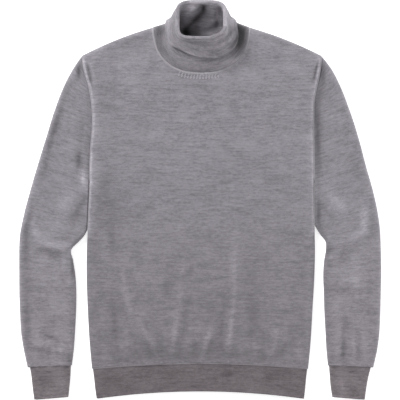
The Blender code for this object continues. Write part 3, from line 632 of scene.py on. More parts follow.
def knit_finish(name, light, dark, wale, course, rib, relief):
    """Melange yarn, knitted. Fibres of two greys make short streaks along the courses, and the
    stitches stand up as columns of small V shapes, or as ribs where rib is more than 0. wale and
    course are a stitch's width and height, and rib the width of a rib, in millimetres."""
    finish = Finish(name)
    place = finish.add("ShaderNodeUVMap", {"uv_map": "cloth"}, {})
    parts = finish.add("ShaderNodeSeparateXYZ", {}, {0: place.outputs[0]})
    across = Value(finish, parts.outputs[0]) * 1000.0
    along = Value(finish, parts.outputs[1]) * 1000.0

    def speckle(wide, high, detail, seed):
        """Soft spots of this size in millimetres, from about -0.5 to 0.5."""
        at = finish.add("ShaderNodeCombineXYZ", {},
                        {0: across * (1 / wide), 1: along * (1 / high), 2: seed})
        noise = finish.add("ShaderNodeTexNoise", {"noise_dimensions": "3D"},
                           {"Vector": at.outputs[0], "Scale": 1.0, "Detail": detail, "Roughness": 0.6})
        return Value(finish, noise.outputs["Fac"]) - 0.5

    streaks = speckle(7.5, 3.0, 2.0, 1.7)
    runs = speckle(28.0, 3.4, 1.0, 4.4)
    clouds = speckle(36.0, 26.0, 1.0, 5.3)
    fibres = speckle(2.2, 0.75, 1.0, 9.1)
    shade = streaks * 1.25 + runs * 0.85 + clouds * 0.65 + fibres * 1.1 + 0.5
    shade = shade.maths("MINIMUM", 1.0).maths("MAXIMUM", 0.0)
    yarn = finish.add("ShaderNodeMix", {"data_type": "RGBA"},
                      {0: shade, 6: (*dark, 1.0), 7: (*light, 1.0)})
    # Each point's painted shade and highlight scale the yarn's colour.
    painted_shading = finish.add("ShaderNodeAttribute", {"attribute_name": "shade"}, {})
    colour = finish.add("ShaderNodeVectorMath", {"operation": "SCALE"},
                        {"Vector": yarn.outputs[2], "Scale": painted_shading.outputs["Fac"]})
    spot = finish.add("ShaderNodeTexCoord", {}, {})
    spot = finish.add("ShaderNodeSeparateXYZ", {}, {0: spot.outputs["Object"]})
    down = (Value(finish, spot.outputs[1]) * -3.0).maths("MINIMUM", 1.0).maths("MAXIMUM", 0.0)
    warmth = finish.add("ShaderNodeMix", {"data_type": "RGBA"}, {0: down, 6: PLAIN, 7: WARMED})
    colour = finish.add("ShaderNodeVectorMath", {"operation": "MULTIPLY"},
                        {0: colour.outputs[0], 1: warmth.outputs[2]})

    leg = (across * (1 / wale)).maths("FRACT").maths("SUBTRACT", 0.5).maths("ABSOLUTE") * 2.0
    slope = leg - 0.5
    bulge = 1.0 - slope * slope * 4.0
    lean = (along * (1 / course) + leg * 0.8) * (2 * math.pi)
    stitch = bulge * (lean.maths("SINE") * 0.32 + 0.68)
    if rib:
        wave = (across * (2 * math.pi / rib)).maths("SINE") * 0.5 + 0.5
        stitch = stitch * 0.35 + wave
    fuzz = speckle(0.7, 0.7, 2.0, 3.1)
    height = stitch + fuzz * 0.7 + streaks * 0.5
    bump = finish.add("ShaderNodeBump", {},
                      {"Height": height, "Strength": relief, "Distance": BUMP_DEPTH})
    rough = 0.86 + fibres * 0.12
    finish.feed(finish.shader, {
        "Base Color": colour.outputs[0], "Roughness": rough, "Normal": bump.outputs[0], "Metallic": 0.0,
        "Sheen Weight": 0.25, "Sheen Roughness": 0.5, "Sheen Tint": (0.9, 0.88, 0.93, 1.0),
        "Specular IOR Level": 0.25,
    })
    return finish.material


def dress(piece, node, material):
    """Gives a finished piece of cloth its material, hangs it on the root body and hides the part it
    stands for.
    """
    piece.data.materials.clear()
    piece.data.materials.append(material)
    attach(piece, "root")
    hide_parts(node)


# Points lie closer together over a rounded edge, and near the neck points. These are the distances.
FINE_ROLL = (0.0, 0.25, 0.6, 1.1, 1.8, 2.6, 3.7, 5.0, 6.6, 8.6, 11.0)
NECK_CLOSE = (16.0, 12.5, 9.5, 7.0, 4.8, 2.8, 1.2, 0.0)
jersey = knit_finish("melange_jersey", (0.330, 0.312, 0.345), (0.170, 0.160, 0.180),
                     wale=1.25, course=0.95, rib=0, relief=0.6)
front_neck = neckline(NECK_FRONT, 40, NECK_CLOSE)
front_grid = body_panel(front_neck, 34, 112, 84, FINE_ROLL, front_height)
front = grid_cloth("front_panel", front_grid, shade=body_shade(front_grid[..., 0], front_grid[..., 1]),
                   flat=front_grid[..., :2] * MM)
dress(front, "front", jersey)

# Back. The same panel with a high neckline, flat on the surface that the sweater lies on. Its edges
# turn up to meet the front at the side seams and at the shoulders.
UNDER_ROLL = 7.0  # width of its upturned edges
NECK_BACK = table(
    "out y",
    (0, 309.0),
    (30, 310.5),
    (62, 316.0),
    (92.0, 327.0),
)


def back_height(x, y):
    """Level on the ground, and rounded up at its edges."""
    side = rounded(np.maximum(np.minimum(x - body_left(y), body_right(y) - x), 0.0), UNDER_ROLL)
    shoulder = rounded(below_shoulder(x, y), UNDER_ROLL)
    edge = seam_height(y) - SIDE_SEAM
    return np.maximum(edge * (1 - armhole_open(y)) * (1 - side), edge * (1 - shoulder))


BACK_FINE_ROLL = (0.0, 0.3, 0.8, 1.5, 2.4, 3.5, 5.0, 7.0)
back_neck = neckline(NECK_BACK, 24, (10.0, 7.0, 4.5, 2.2, 0.8, 0.0))
back_grid = body_panel(back_neck, 14, 44, 34, BACK_FINE_ROLL, back_height)
back = grid_cloth("back_panel", back_grid, flip=True, flat=back_grid[..., :2] * MM)
dress(back, "back", jersey)

# Sleeves. Each is one piece of the same jersey, narrowed by fashioning towards the cuff, closed by a
# seam under the arm and set into the armhole. Laid down, they bend and crease inside the elbow.
SLEEVE_GAP = 0.6  # between the body's edge and the sleeve's
CAP_EDGE_Z = 13.2  # the sleeve's edge along the armhole, just below the front's
CAP_SLOPE = 26.0  # the sleeve rises from the armhole over this much more than its other edges
CUFF_SEAM_Z = 12.0
SLEEVE_SLACK = 0.25
SLEEVE_CROWDING = 0.92  # an exponent: below 1, the rows lie closer towards the cuff
PUFF = 40.0  # the sleeve comes down to its cuff over this length
PUFF_LEFT_OVER = 0.25  # share of its fullness that is left at the cuff
SLEEVE_PRESSED_ROLL = 7.0  # how much narrower its rounded edge is beside the body
# A painted highlight along each sleeve's outer fold, where light catches its rounded edge.
PAINTED_RIM_LIGHT = 0.2  # how much paler the yarn looks along the outer fold
RIM_WIDTH = 2.6
ARM_ROWS = 60
FREE_ROWS = 120
LEAVE_ROW = 7  # the section where it comes out from beside the body
MOST_IN_ROLL = 0.6  # shares of a narrow tube's width that its rounded edges may take, inner and outer
MOST_OUT_ROLL = 0.45
SLEEVE_COLUMNS = "in_y in_out out_x out_y height"
SLEEVE_LEFT = table(
    SLEEVE_COLUMNS,
    (246, 0, 225.0, 272.3, 13),
    (222, 0, 240.3, 249.8, 15),
    (193, 0, 256.6, 219.5, 16),
    (150, 0, 274.6, 174.0, 17),
    (94, 0, 291.5, 120.0, 18),
    (31, 0, 309.8, 60.7, 18),
    (-15, 0, 322.7, 15.7, 18),
    (-57, 0, 335.0, -31.0, 18),
    (-69, 220.5, 339.0, -50.0, 18),
    (-80, 230.5, 341.8, -66.0, 17),
    (-92, 242.8, 343.0, -84.0, 16),
    (-115, 240.6, 343.3, -112.0, 15),
    (-138, 236.9, 343.2, -137.0, 15),
    (-175, 234.5, 343.0, -175.0, 15),
    (-215, 235.2, 341.6, -215.0, 15),
    (-252, 237.1, 339.5, -252.0, 15),
    (-285, 239.5, 334.2, -285.0, 15),
    (-314, 243.0, 327.3, -317.7, 13),
)
SLEEVE_RIGHT = table(
    SLEEVE_COLUMNS,
    (246, 0, 231.6, 272.3, 13),
    (222, 0, 248.6, 249.8, 15),
    (193, 0, 264.6, 219.5, 16),
    (150, 0, 282.6, 174.0, 17),
    (94, 0, 300.2, 120.0, 18),
    (31, 0, 316.0, 60.7, 18),
    (-15, 0, 328.7, 15.7, 18),
    (-49, 0, 336.9, -22.1, 18),
    (-66, 228.2, 340.6, -46.0, 18),
    (-78, 237.6, 342.0, -63.0, 17),
    (-92, 238.9, 343.0, -84.0, 16),
    (-115, 235.4, 343.6, -112.0, 15),
    (-138, 233.8, 343.8, -137.0, 15),
    (-175, 234.8, 343.2, -175.0, 15),
    (-215, 236.0, 342.1, -215.0, 15),
    (-252, 238.1, 340.4, -252.0, 15),
    (-285, 239.9, 336.2, -285.0, 15),
    (-314, 242.8, 329.0, -317.7, 13),
)
LEFT_FOLDS = table(
    FOLD_COLUMNS,
    (-318, -48, -306, -83, 10, 4.6),
    (-306, -83, -246, -93, 9, 5.0),
    (-302, -105, -262, -111, 9, -3.0),
    (-276, 50, -248, -2, 16, 3.0),
    (-248, -2, -276, -66, 15, 3.2),
    (-233, 78, -236, 20, 13, -3.0),
    (-268, -292, -262, -312, 12, 3.0),
    (-300, -262, -304, -310, 11, 2.2),
    (-286, -270, -284, -312, 10, -2.4),
)
LEFT_CREASES = table(
    FOLD_COLUMNS,
    (-254, 200, -265, 166, 5.7, -2.0),
    (-265, 166, -284, 102, 5.7, -3.2),
    (-284, 102, -297, 37, 5.7, -2.2),
    (-320, -24, -328, -62, 5.7, -3.0),
    (-328, -62, -328, -119, 6.1, -2.8),
    (-328, -119, -326, -276, 5.7, -1.9),
    (-229, 254, -229, 227, 4.2, -3.8),
    (-221, 189, -223, 94, 6.6, -1.5),
    (-229, 88, -229, 58, 5.3, -3.5),
    (-223, 50, -218, 24, 5.7, 4.0),
    (-219, 10, -219, -14, 4.6, -2.5),
    (-223, -1, -240, -54, 8, -2.6),
    (-254, 14, -265, -28, 11.4, 2.2),
    (-229, -37, -235, -62, 4.6, 2.2),
    (-271, 45, -265, 29, 7.6, 1.2),
    (-313, -47, -309, -77, 6.1, 2.8),
    (-257, -96, -257, -138, 4.6, 2.8),
    (-256, -161, -240, -157, 5.7, 2.0),
    (-276, -143, -276, -210, 7.6, 1.2),
    (-303, -254, -269, -269, 4.6, -2.8),
    (-314, -273, -276, -280, 4.9, 1.5),
    (-322, -282, -288, -290, 4.6, -2.2),
    (-263, -273, -265, -309, 4.9, 2.4),
    (-248, -290, -248, -313, 5.7, -2.0),
    (-288, -290, -286, -313, 4.6, -1.9),
    (-278, -286, -276, -313, 3.8, 1.6),
    (-311, -295, -313, -314, 4.8, 1.4),
    (-299, -295, -299, -314, 3.8, -1.2),
    (-294, -195, -290, -206, 7.6, -1.2),
    (-316, -145, -314, -183, 7.6, -1.0),
    (-269, 104, -238, 90, 4.8, 0.9),
    (-261, 136, -254, 121, 7.6, 1.0),
    (-294, -1, -286, -31, 9.5, -1.0),
    (-322, -225, -265, -233, 5.7, -0.8),
    (-303, -130, -261, -126, 5.7, -0.8),
)
# Painted shade and painted highlights on the left sleeve.
LEFT_PAINTED_SHADING = table(
    FOLD_COLUMNS,
    (-229, 254, -229, 227, 3.8, -0.24),
    (-206, 254, -206, 208, 3, -0.05),
    (-212, 197, -212, 56, 4.2, -0.12),
    (-261, 174, -278, 121, 6.1, -0.08),
    (-278, 121, -286, 94, 6.1, -0.08),
    (-322, -29, -328, -62, 5.7, -0.1),
    (-328, -62, -328, -276, 5.7, -0.08),
    (-229, 85, -229, 58, 4.9, -0.16),
    (-221, 52, -219, 22, 7.2, 0.2),
    (-218, -28, -216, -54, 3.8, -0.2),
    (-242, -105, -242, -149, 3.4, -0.32),
    (-244, -183, -242, -248, 5.7, -0.08),
    (-280, -104, -271, -107, 9.5, -0.08),
    (-307, -85, -250, -88, 4.9, 0.1),
    (-313, -50, -311, -73, 5.7, 0.12),
    (-248, -294, -248, -316, 5.7, -0.14),
    (-227, 151, -223, 94, 11.4, -0.04),
    (-223, 41, -227, 18, 4.8, -0.04),
    (-221, 5, -240, -54, 8.7, -0.13),
    (-254, 37, -250, -24, 9.5, 0.07),
    (-299, -73, -265, -88, 11.4, 0.06),
    (-244, -90, -248, -98, 4.9, 0.14),
    (-275, -115, -265, -172, 11.4, 0.02),
    (-242, 94, -242, 75, 7.6, 0.06),
    (-254, -159, -238, -159, 5.7, 0.05),
    (-261, 170, -288, 75, 8.5, -0.05),
    (-295, 56, -311, -10, 9.5, -0.05),
    (-326, -229, -318, -276, 9.5, -0.05),
    (-261, -290, -257, -297, 5.7, 0.07),
    (-309, -58, -303, -92, 6.8, 0.15),
    (-295, -88, -257, -92, 7.6, 0.11),
    (-242, -88, -250, -100, 5.3, 0.18),
    (-265, 41, -254, 18, 9.5, 0.07),
    (-261, -24, -246, -5, 9.5, 0.12),
    (-254, -48, -284, -69, 11.4, 0.08),
    (-216, -31, -216, -47, 3.4, 0.25),
    (-223, 56, -221, 37, 4.6, 0.12),
    (-250, 223, -257, 174, 7.6, -0.09),
    (-269, 155, -286, 113, 7.6, -0.08),
    (-333, -43, -337, -191, 7.6, -0.08),
    (-242, -104, -237, -153, 4.6, -0.14),
    (-333, -191, -326, -276, 9.5, -0.08),
    (-307, -69, -254, -83, 11.4, 0.1),
    (-276, -50, -254, -20, 11.4, 0.07),
    (-269, 29, -231, 22, 13.3, 0.07),
    (-223, 54, -222, 20, 8.7, 0.13),
    (-233, 107, -231, 69, 7.6, -0.06),
)
RIGHT_FOLDS = table(
    FOLD_COLUMNS,
    (318, -28, 311, -60, 11, 4.6),
    (311, -60, 286, -76, 10, 5.6),
    (286, -76, 240, -82, 9, 3.2),
    (300, -100, 262, -106, 11, -1.6),
    (262, 20, 256, -20, 16, 3.2),
    (238, -12, 240, -48, 12, -3.2),
    (255, -205, 256, -310, 11, 2.6),
    (275, -210, 275, -310, 11, -2.8),
    (291, -215, 293, -310, 11, 2.8),
)
RIGHT_CREASES = table(
    FOLD_COLUMNS,
    (226, 261, 223, 212, 8.7, -4.1),
    (223, 212, 223, 52, 8.4, -4.6),
    (248, 216, 250, 204, 5.7, -2.1),
    (259, 178, 269, 164, 7.6, -1.5),
    (276, 132, 280, 113, 6.6, -1.5),
    (286, 79, 294, 60, 6.6, -1.7),
    (297, 48, 303, 29, 6.8, -2.0),
    (307, 20, 314, 9, 6.8, -1.7),
    (242, 67, 244, 52, 7.6, -1.1),
    (248, 3, 276, -24, 9.5, 2.1),
    (309, -16, 311, -54, 5.7, 2.8),
    (328, -1, 328, -73, 5.7, -2.1),
    (233, -54, 276, -47, 6.6, -0.8),
    (244, -92, 244, -102, 4.9, -2.8),
    (244, -121, 246, -128, 4.9, -2.5),
    (248, -109, 252, -111, 3.8, 1.4),
    (250, -136, 256, -140, 4.8, 1.5),
    (276, -88, 263, -124, 5.7, -2.3),
    (288, -119, 297, -162, 9.5, 1.5),
    (248, -157, 295, -159, 6.5, 1.3),
    (240, -174, 286, -174, 7.2, -1.4),
    (265, -187, 265, -206, 6.6, 1.6),
    (265, -225, 263, -263, 5.7, 2.0),
    (259, -275, 261, -309, 4.9, 2.8),
    (278, -221, 275, -263, 4.9, -1.0),
    (275, -267, 271, -305, 4.9, -1.9),
    (290, -233, 290, -276, 5.7, 1.7),
    (290, -276, 288, -305, 4.9, 2.8),
    (301, -263, 299, -309, 4.9, -2.8),
    (286, -202, 290, -218, 5.7, -1.7),
    (318, -238, 320, -267, 7.6, -1.3),
    (314, -206, 324, -218, 7.6, -1.0),
    (314, -276, 313, -309, 5.7, 1.4),
    (250, -267, 250, -309, 4.6, -1.4),
    (248, 155, 278, 147, 5.7, 0.9),
    (254, 109, 263, 100, 6.6, -0.8),
    (328, -119, 326, -191, 7.6, -1.0),
)
# Painted shade and painted highlights on the right sleeve.
RIGHT_PAINTED_SHADING = table(
    FOLD_COLUMNS,
    (234, 257, 233, 219, 5.7, -0.36),
    (231, 216, 223, 189, 6.5, -0.24),
    (222, 189, 222, 52, 6.5, -0.26),
    (223, 52, 223, 18, 5.7, -0.16),
    (224, -1, 224, -50, 4.6, -0.34),
    (229, -10, 240, -20, 5.7, -0.2),
    (311, -20, 311, -58, 5.7, 0.13),
    (305, -64, 286, -73, 5.7, 0.1),
    (278, -79, 244, -83, 5.7, 0.05),
    (244, -92, 244, -102, 4.6, -0.12),
    (244, -121, 246, -128, 4.6, -0.1),
    (273, -276, 271, -305, 4.2, -0.14),
    (324, -124, 324, -267, 9.5, -0.04),
    (295, -124, 297, -159, 9.5, 0.04),
    (238, 227, 238, 170, 9.5, -0.04),
    (263, 18, 271, -29, 13.3, 0.08),
    (248, -83, 282, -90, 7.6, 0.07),
    (299, -69, 309, -54, 6.5, 0.07),
    (257, -134, 301, -162, 11.4, 0.05),
    (290, -176, 301, -176, 5.7, 0.05),
    (276, -309, 276, -313, 7.6, -0.1),
    (263, -238, 269, -286, 6.1, 0.05),
    (242, -100, 242, -107, 5.7, -0.08),
    (238, 28, 246, -1, 7.6, 0.09),
    (256, -10, 278, -35, 9.5, 0.08),
    (311, -28, 313, -67, 6.8, 0.16),
    (305, -73, 263, -88, 7.6, 0.11),
    (276, -134, 305, -172, 9.5, 0.06),
    (229, -58, 257, -50, 7.6, -0.12),
    (225, 75, 225, -48, 4.6, -0.08),
    (238, 235, 238, 178, 9.5, -0.06),
    (240, -85, 240, -111, 4.6, -0.12),
    (276, -301, 276, -316, 11.4, -0.14),
    (238, -119, 238, -191, 4.6, -0.1),
    (240, -191, 242, -305, 4.6, -0.1),
    (248, 151, 252, 66, 11.4, -0.05),
    (248, 5, 278, -31, 11.4, 0.08),
    (307, -28, 309, -67, 6.8, 0.1),
    (259, -79, 301, -77, 7.6, 0.09),
    (218, 204, 218, 142, 3, -0.25),
    (225, -1, 225, -43, 5.7, -0.12),
    (225, -45, 233, -62, 5.7, -0.25),
)
UPPER_FINE = np.array((0, .004, .010, .018, .028, .041, .058, .078, *np.linspace(.102, .88, 44),
                       .905, .927, .946, .962, .975, .986, .994, 1))
LOWER_FINE = np.array((0, .004, .010, .018, .028, .041, .058, .08, *np.linspace(.13, .87, 12),
                       .92, .942, .959, .972, .982, .990, .996, 1))[::-1]


def across_sleeve(share, inner, outer, in_y, out_y):
    return inner + share * (outer - inner), in_y + share * (out_y - in_y)


def tube_heights(width, share, height, in_edge, in_roll, under_edge):
    """Heights of a flattened tube's upper and lower faces across one of its sections."""
    from_in = share * width
    from_out = (1 - share) * width
    in_roll = np.minimum(in_roll, MOST_IN_ROLL * width)
    out_roll = np.minimum(TOP_ROLL, MOST_OUT_ROLL * width)
    rise = in_edge - FOLD_Z + (height - in_edge) * rounded(from_in, in_roll)
    upper = FOLD_Z + rise * rounded(from_out, out_roll)
    under_roll = np.minimum(UNDER_ROLL, MOST_OUT_ROLL * width)
    lower = np.maximum(under_edge * (1 - rounded(from_in, under_roll)),
                       FOLD_Z * (1 - rounded(from_out, under_roll)))
    return upper, lower


def sleeve_grid(sections, side, folds, creases, arm_rows, free_rows):
    """A sleeve's rows of points, from its cap down to the cuff, round the tube from the body side."""
    down = np.linspace(0, 1, free_rows + 1)[1:] ** SLEEVE_CROWDING
    free_y = ARMPIT_Y + (sections["in_y"][-1] - ARMPIT_Y) * down
    ys = np.concatenate([np.linspace(ARMPIT_Y, CAP_Y, arm_rows + 1)[::-1], free_y])
    keys = sections["in_y"][::-1]
    edge = body_left if side < 0 else body_right
    beside = edge(ys) + side * SLEEVE_GAP
    leave = sections["in_y"][LEAVE_ROW]
    free_keys = sections["in_y"][LEAVE_ROW:][::-1]
    free_out = sections["in_out"][LEAVE_ROW:][::-1].copy()
    free_out[-1] = abs(edge(leave)) + SLEEVE_GAP
    inner = np.where(ys >= leave, beside, side * smooth(ys, free_keys, free_out))
    outer = side * smooth(ys, keys, sections["out_x"][::-1])
    out_ys = smooth(ys, keys, sections["out_y"][::-1])
    heights = smooth(ys, keys, sections["height"][::-1])
    opened = armhole_open(ys)
    rows = []
    for k, y in enumerate(ys):
        width = math.hypot(outer[k] - inner[k], out_ys[k] - y)
        seam = seam_height(y)
        in_edge = seam + (CAP_EDGE_Z - seam) * opened[k]
        pressed = SLEEVE_PRESSED_ROLL * beside_sleeve(y) * (1 - opened[k])
        in_roll = TOP_ROLL + CAP_SLOPE * opened[k] - pressed
        under_edge = seam * (1 - opened[k])
        x, up_y = across_sleeve(UPPER_FINE, inner[k], outer[k], y, out_ys[k])
        height = heights[k] + folded(x, up_y, folds) + creased(x, up_y, creases)
        height = height + slack(x, up_y, SLEEVE_SLACK)
        full = PUFF_LEFT_OVER + (1 - PUFF_LEFT_OVER) * ease((up_y - up_y[0] + y - ys[-1]) / PUFF)
        height = CUFF_SEAM_Z + (height - CUFF_SEAM_Z) * full
        up_z, _ = tube_heights(width, UPPER_FINE, height, in_edge, in_roll, under_edge)
        under_x, under_y = across_sleeve(LOWER_FINE, inner[k], outer[k], y, out_ys[k])
        _, under_z = tube_heights(width, LOWER_FINE, heights[k], in_edge, in_roll, under_edge)
        if k == 0:
            x = edge(up_y) + side * SLEEVE_GAP
            under_x = edge(under_y) + side * SLEEVE_GAP
            up_z = seam_height(up_y) + (CAP_EDGE_Z - seam_height(up_y)) * armhole_open(up_y)
            under_z = seam_height(under_y) * (1 - armhole_open(under_y))
        upper = np.stack([x, up_y, up_z], axis=1)
        under = np.stack([under_x, under_y, under_z], axis=1)
        rows.append(np.concatenate([upper, under[1:]]))
    return np.array(rows)


for name, sections, side, folds, creases, shades in (
        ("sleeve_left", SLEEVE_LEFT, -1, LEFT_FOLDS, LEFT_CREASES, LEFT_PAINTED_SHADING),
        ("sleeve_right", SLEEVE_RIGHT, 1, RIGHT_FOLDS, RIGHT_CREASES, RIGHT_PAINTED_SHADING)):
    grid = sleeve_grid(sections, side, folds, creases, ARM_ROWS, FREE_ROWS)
    x = grid[..., 0]
    y = grid[..., 1]
    # Each sleeve's painted shading: painted shade and highlights from its tables and its relief, and a
    # painted highlight along its outer fold.
    rim = np.linalg.norm(grid[..., :2] - grid[:, len(UPPER_FINE) - 1, None, :2], axis=2)
    shade = 1 + creased(x, y, shades) + painted_relief_shade(creased(x, y, creases))
    shade = shade + PAINTED_RIM_LIGHT * np.exp(-((rim / RIM_WIDTH) ** 2))
    sleeve = grid_cloth(name + "_panel", grid, flip=side > 0, welded_from=ARM_ROWS, shade=shade)
    dress(sleeve, name, jersey)

# Hem band. Two strips of the same yarn in a tighter, denser knit, one below each body panel, linked
# on stitch by stitch. They are narrower than the body, so they draw it in.
BAND_ROLL = 9.0  # width of its rounded side edges
HEM_TOP_Y = -320.4
HEM_BAND = table(
    "down left right arch height",
    (0.0, -203.4, 203.6, 10.0, 12.0),
    (16.0, -201.3, 201.6, 11.0, 12.5),
    (36.0, -199.2, 199.8, 12.5, 12.0),
    (57.8, -196.2, 197.4, 15.2, 11.0),
)
BAND_WAVE = 0.35  # height of its slow waves, which end this far below the seam
BAND_WAVY = 40.0
BAND_FINE = np.array((0, .0006, .0016, .003, .005, .008, .012, .017, *np.linspace(.024, .976, 120),
                      .983, .988, .992, .995, .997, .9984, .9994, 1))
# Painted shade and painted highlights on the band, where it is pulled and gathered.
BAND_PAINTED_SHADING = table(
    FOLD_COLUMNS,
    (-79, -326, -28, -328, 6.6, -0.19),
    (50, -320, 58, -335, 7.6, -0.24),
    (-170, -345, -147, -341, 7.6, -0.19),
    (123, -339, 138, -339, 7.6, -0.16),
    (-113, -318, -94, -316, 5.7, -0.16),
    (143, -318, 172, -322, 5.7, -0.16),
    (10, -351, 24, -354, 9.5, 0.09),
    (96, -351, 107, -354, 9.5, 0.08),
    (-113, -351, -94, -354, 9.5, 0.09),
    (-3, -322, 12, -324, 7.6, -0.08),
    (-189, -328, -181, -332, 5.7, -0.08),
    (183, -343, 191, -351, 7.6, 0.07),
    (-52, -351, -37, -354, 9.5, 0.05),
)
# A painted highlight along the band's lower edge, and a painted pale line along its seam over the shadow
# of the front's step.
BAND_EDGE_PALE = (0.16, 0.12, 0.05, 0.01)  # from the lower edge up, row by row
BAND_SEAM_PALE = 0.35


def hem_grid(front, rows):
    """The front or the back of the hem band, from its lower edge up to the seam."""
    out = []
    for down in np.linspace(HEM_BAND["down"][-1], 0.0, rows):
        left, right, arch, height = (smooth(down, HEM_BAND["down"], HEM_BAND[key])
                                     for key in ("left", "right", "arch", "height"))
        x = left + BAND_FINE * (right - left)
        y = HEM_TOP_Y - down + arched(x, arch)
        inside = np.minimum(x - left, right - x)
        if front:
            edge = FOLD_Z + SIDE_SEAM
            wave = BAND_WAVE * np.sin(x / 17.0 + 0.6) * np.sin(x / 43.0) * ease(1 - down / BAND_WAVY)
            z = edge + (height + wave - edge) * rounded(inside, BAND_ROLL)
        else:
            z = (FOLD_Z - SIDE_SEAM) * (1 - rounded(inside, UNDER_ROLL))
        out.append(np.stack([x, y, z], axis=1))
    return np.array(out)


band_knit = knit_finish("melange_band", (0.187, 0.166, 0.181), (0.094, 0.082, 0.092),
                        wale=1.1, course=0.9, rib=2.2, relief=0.6)
band_grid = hem_grid(front=True, rows=24)
band_shade = 1 + creased(band_grid[..., 0], band_grid[..., 1], BAND_PAINTED_SHADING)
band_shade[:len(BAND_EDGE_PALE)] += np.array(BAND_EDGE_PALE)[:, None]
band_shade[-1:] += BAND_SEAM_PALE
hem_front = grid_cloth("hem_band_front_strip", band_grid, shade=band_shade)
dress(hem_front, "hem_band_front", band_knit)
hem_back = grid_cloth("hem_band_back_strip", hem_grid(front=False, rows=16), flip=True)
dress(hem_back, "hem_band_back", band_knit)

# Cuffs. Short tubes of the hem band's denser knit, one linked to the end of each sleeve. They are
# narrower than the sleeve, which puffs out above them, and the seam leaves small gathers in them.
CUFF_ROLL = 8.0
CUFF_GATHER = 0.6  # height of the small gathers that the seam leaves in a cuff's upper half
CUFF_GATHERED = 26.0
CUFF_GATHER_WAVE = 3.6
# A painted highlight along each cuff's lower edge.
CUFF_EDGE_PALE = (0.04, 0.12, 0.18)  # down to the lower edge, row by row
CUFF_LENGTH = 60
CUFF_CLOSE = 8  # its rows lie closer together down to here
cuff_knit = knit_finish("melange_cuff", (0.245, 0.219, 0.238), (0.108, 0.095, 0.106),
                        wale=1.1, course=0.9, rib=2.2, relief=0.7)
CUFF_COLUMNS = "down in_x in_y out_x out_y height"
CUFF_LEFT = table(
    CUFF_COLUMNS,
    (0, 245.0, -314.0, 322.6, -317.3, 11.6),
    (16.5, 245.6, -331.0, 320.0, -335.0, 12.5),
    (38, 247.4, -352.0, 317.6, -357.0, 12.0),
    (60, 249.6, -373.6, 314.7, -379.0, 11.0),
)
CUFF_RIGHT = table(
    CUFF_COLUMNS,
    (0, 244.6, -314.0, 324.2, -317.3, 11.6),
    (16.5, 245.9, -331.0, 319.6, -335.0, 12.5),
    (38, 247.6, -352.0, 315.6, -357.0, 12.0),
    (60, 250.8, -373.6, 312.6, -379.0, 11.0),
)
# Painted shade and painted highlights on the cuffs, where they are gathered at the seam.
CUFF_PAINTED_SHADING = table(
    FOLD_COLUMNS,
    (-309, -347, -284, -341, 11.4, -0.31),
    (-257, -316, -248, -322, 5.7, -0.29),
    (-265, -335, -263, -366, 5.7, 0.10),
    (-303, -368, -273, -370, 4.8, 0.07),
    (-316, -324, -303, -320, 5.7, -0.10),
    (250, -318, 259, -318, 4.8, -0.26),
    (273, -314, 299, -320, 6.6, -0.29),
    (265, -337, 271, -371, 5.3, 0.21),
    (288, -351, 290, -373, 7.6, -0.26),
    (254, -351, 256, -373, 4.6, -0.10),
    (305, -335, 301, -366, 5.7, -0.07),
)
cuff_rows = (*np.linspace(0, CUFF_CLOSE, 7)[:-1], *np.linspace(CUFF_CLOSE, CUFF_LENGTH, 24))
for name, sections, side in (("cuff_left", CUFF_LEFT, -1), ("cuff_right", CUFF_RIGHT, 1)):
    rows = []
    for down in cuff_rows:
        in_x, in_y, out_x, out_y, height = (smooth(down, sections["down"], sections[key])
                                            for key in CUFF_COLUMNS.split()[1:])
        width = math.hypot(out_x - in_x, out_y - in_y)
        x, y = across_sleeve(UPPER_FINE, side * in_x, side * out_x, in_y, out_y)
        gather = CUFF_GATHER * np.sin(x / CUFF_GATHER_WAVE + side) * ease(1 - down / CUFF_GATHERED)
        z, _ = tube_heights(width, UPPER_FINE, height + gather, FOLD_Z, CUFF_ROLL, FOLD_Z)
        under_x, under_y = across_sleeve(LOWER_FINE, side * in_x, side * out_x, in_y, out_y)
        _, under_z = tube_heights(width, LOWER_FINE, height, FOLD_Z, CUFF_ROLL, FOLD_Z)
        upper = np.stack([x, y, z], axis=1)
        under = np.stack([under_x, under_y, under_z], axis=1)
        rows.append(np.concatenate([upper, under[1:]]))
    grid = np.array(rows)
    shade = 1 + creased(grid[..., 0], grid[..., 1], CUFF_PAINTED_SHADING)
    shade[-len(CUFF_EDGE_PALE):] += np.array(CUFF_EDGE_PALE)[:, None]
    cuff = grid_cloth(name + "_tube", grid, flip=side > 0, welded_from=0, shade=shade)
    dress(cuff, name, cuff_knit)

# Collar. One long double-height tube of the denser knit, linked to the neckline. It stands up, and
# its upper half is turned down outside, so its edge is a soft roll and its inside shows the neck.
MOUTH_CENTRE = (2.4, 336.5)
MOUTH_HALF = (42.6, 32.0)
MOUTH_SQUARE = 5.0  # exponent of its rounded outline: 2 is an ellipse
MOUTH_PULL = 6.0  # how far its front right corner is drawn back
MOUTH_PULL_X = (14.0, 30.0)
MOUTH_Z_FRONT = 82.0
MOUTH_Z_BACK = 60.0
HALF_SAMPLES = 720  # points on each half of the mouth's outline before it is spaced out evenly
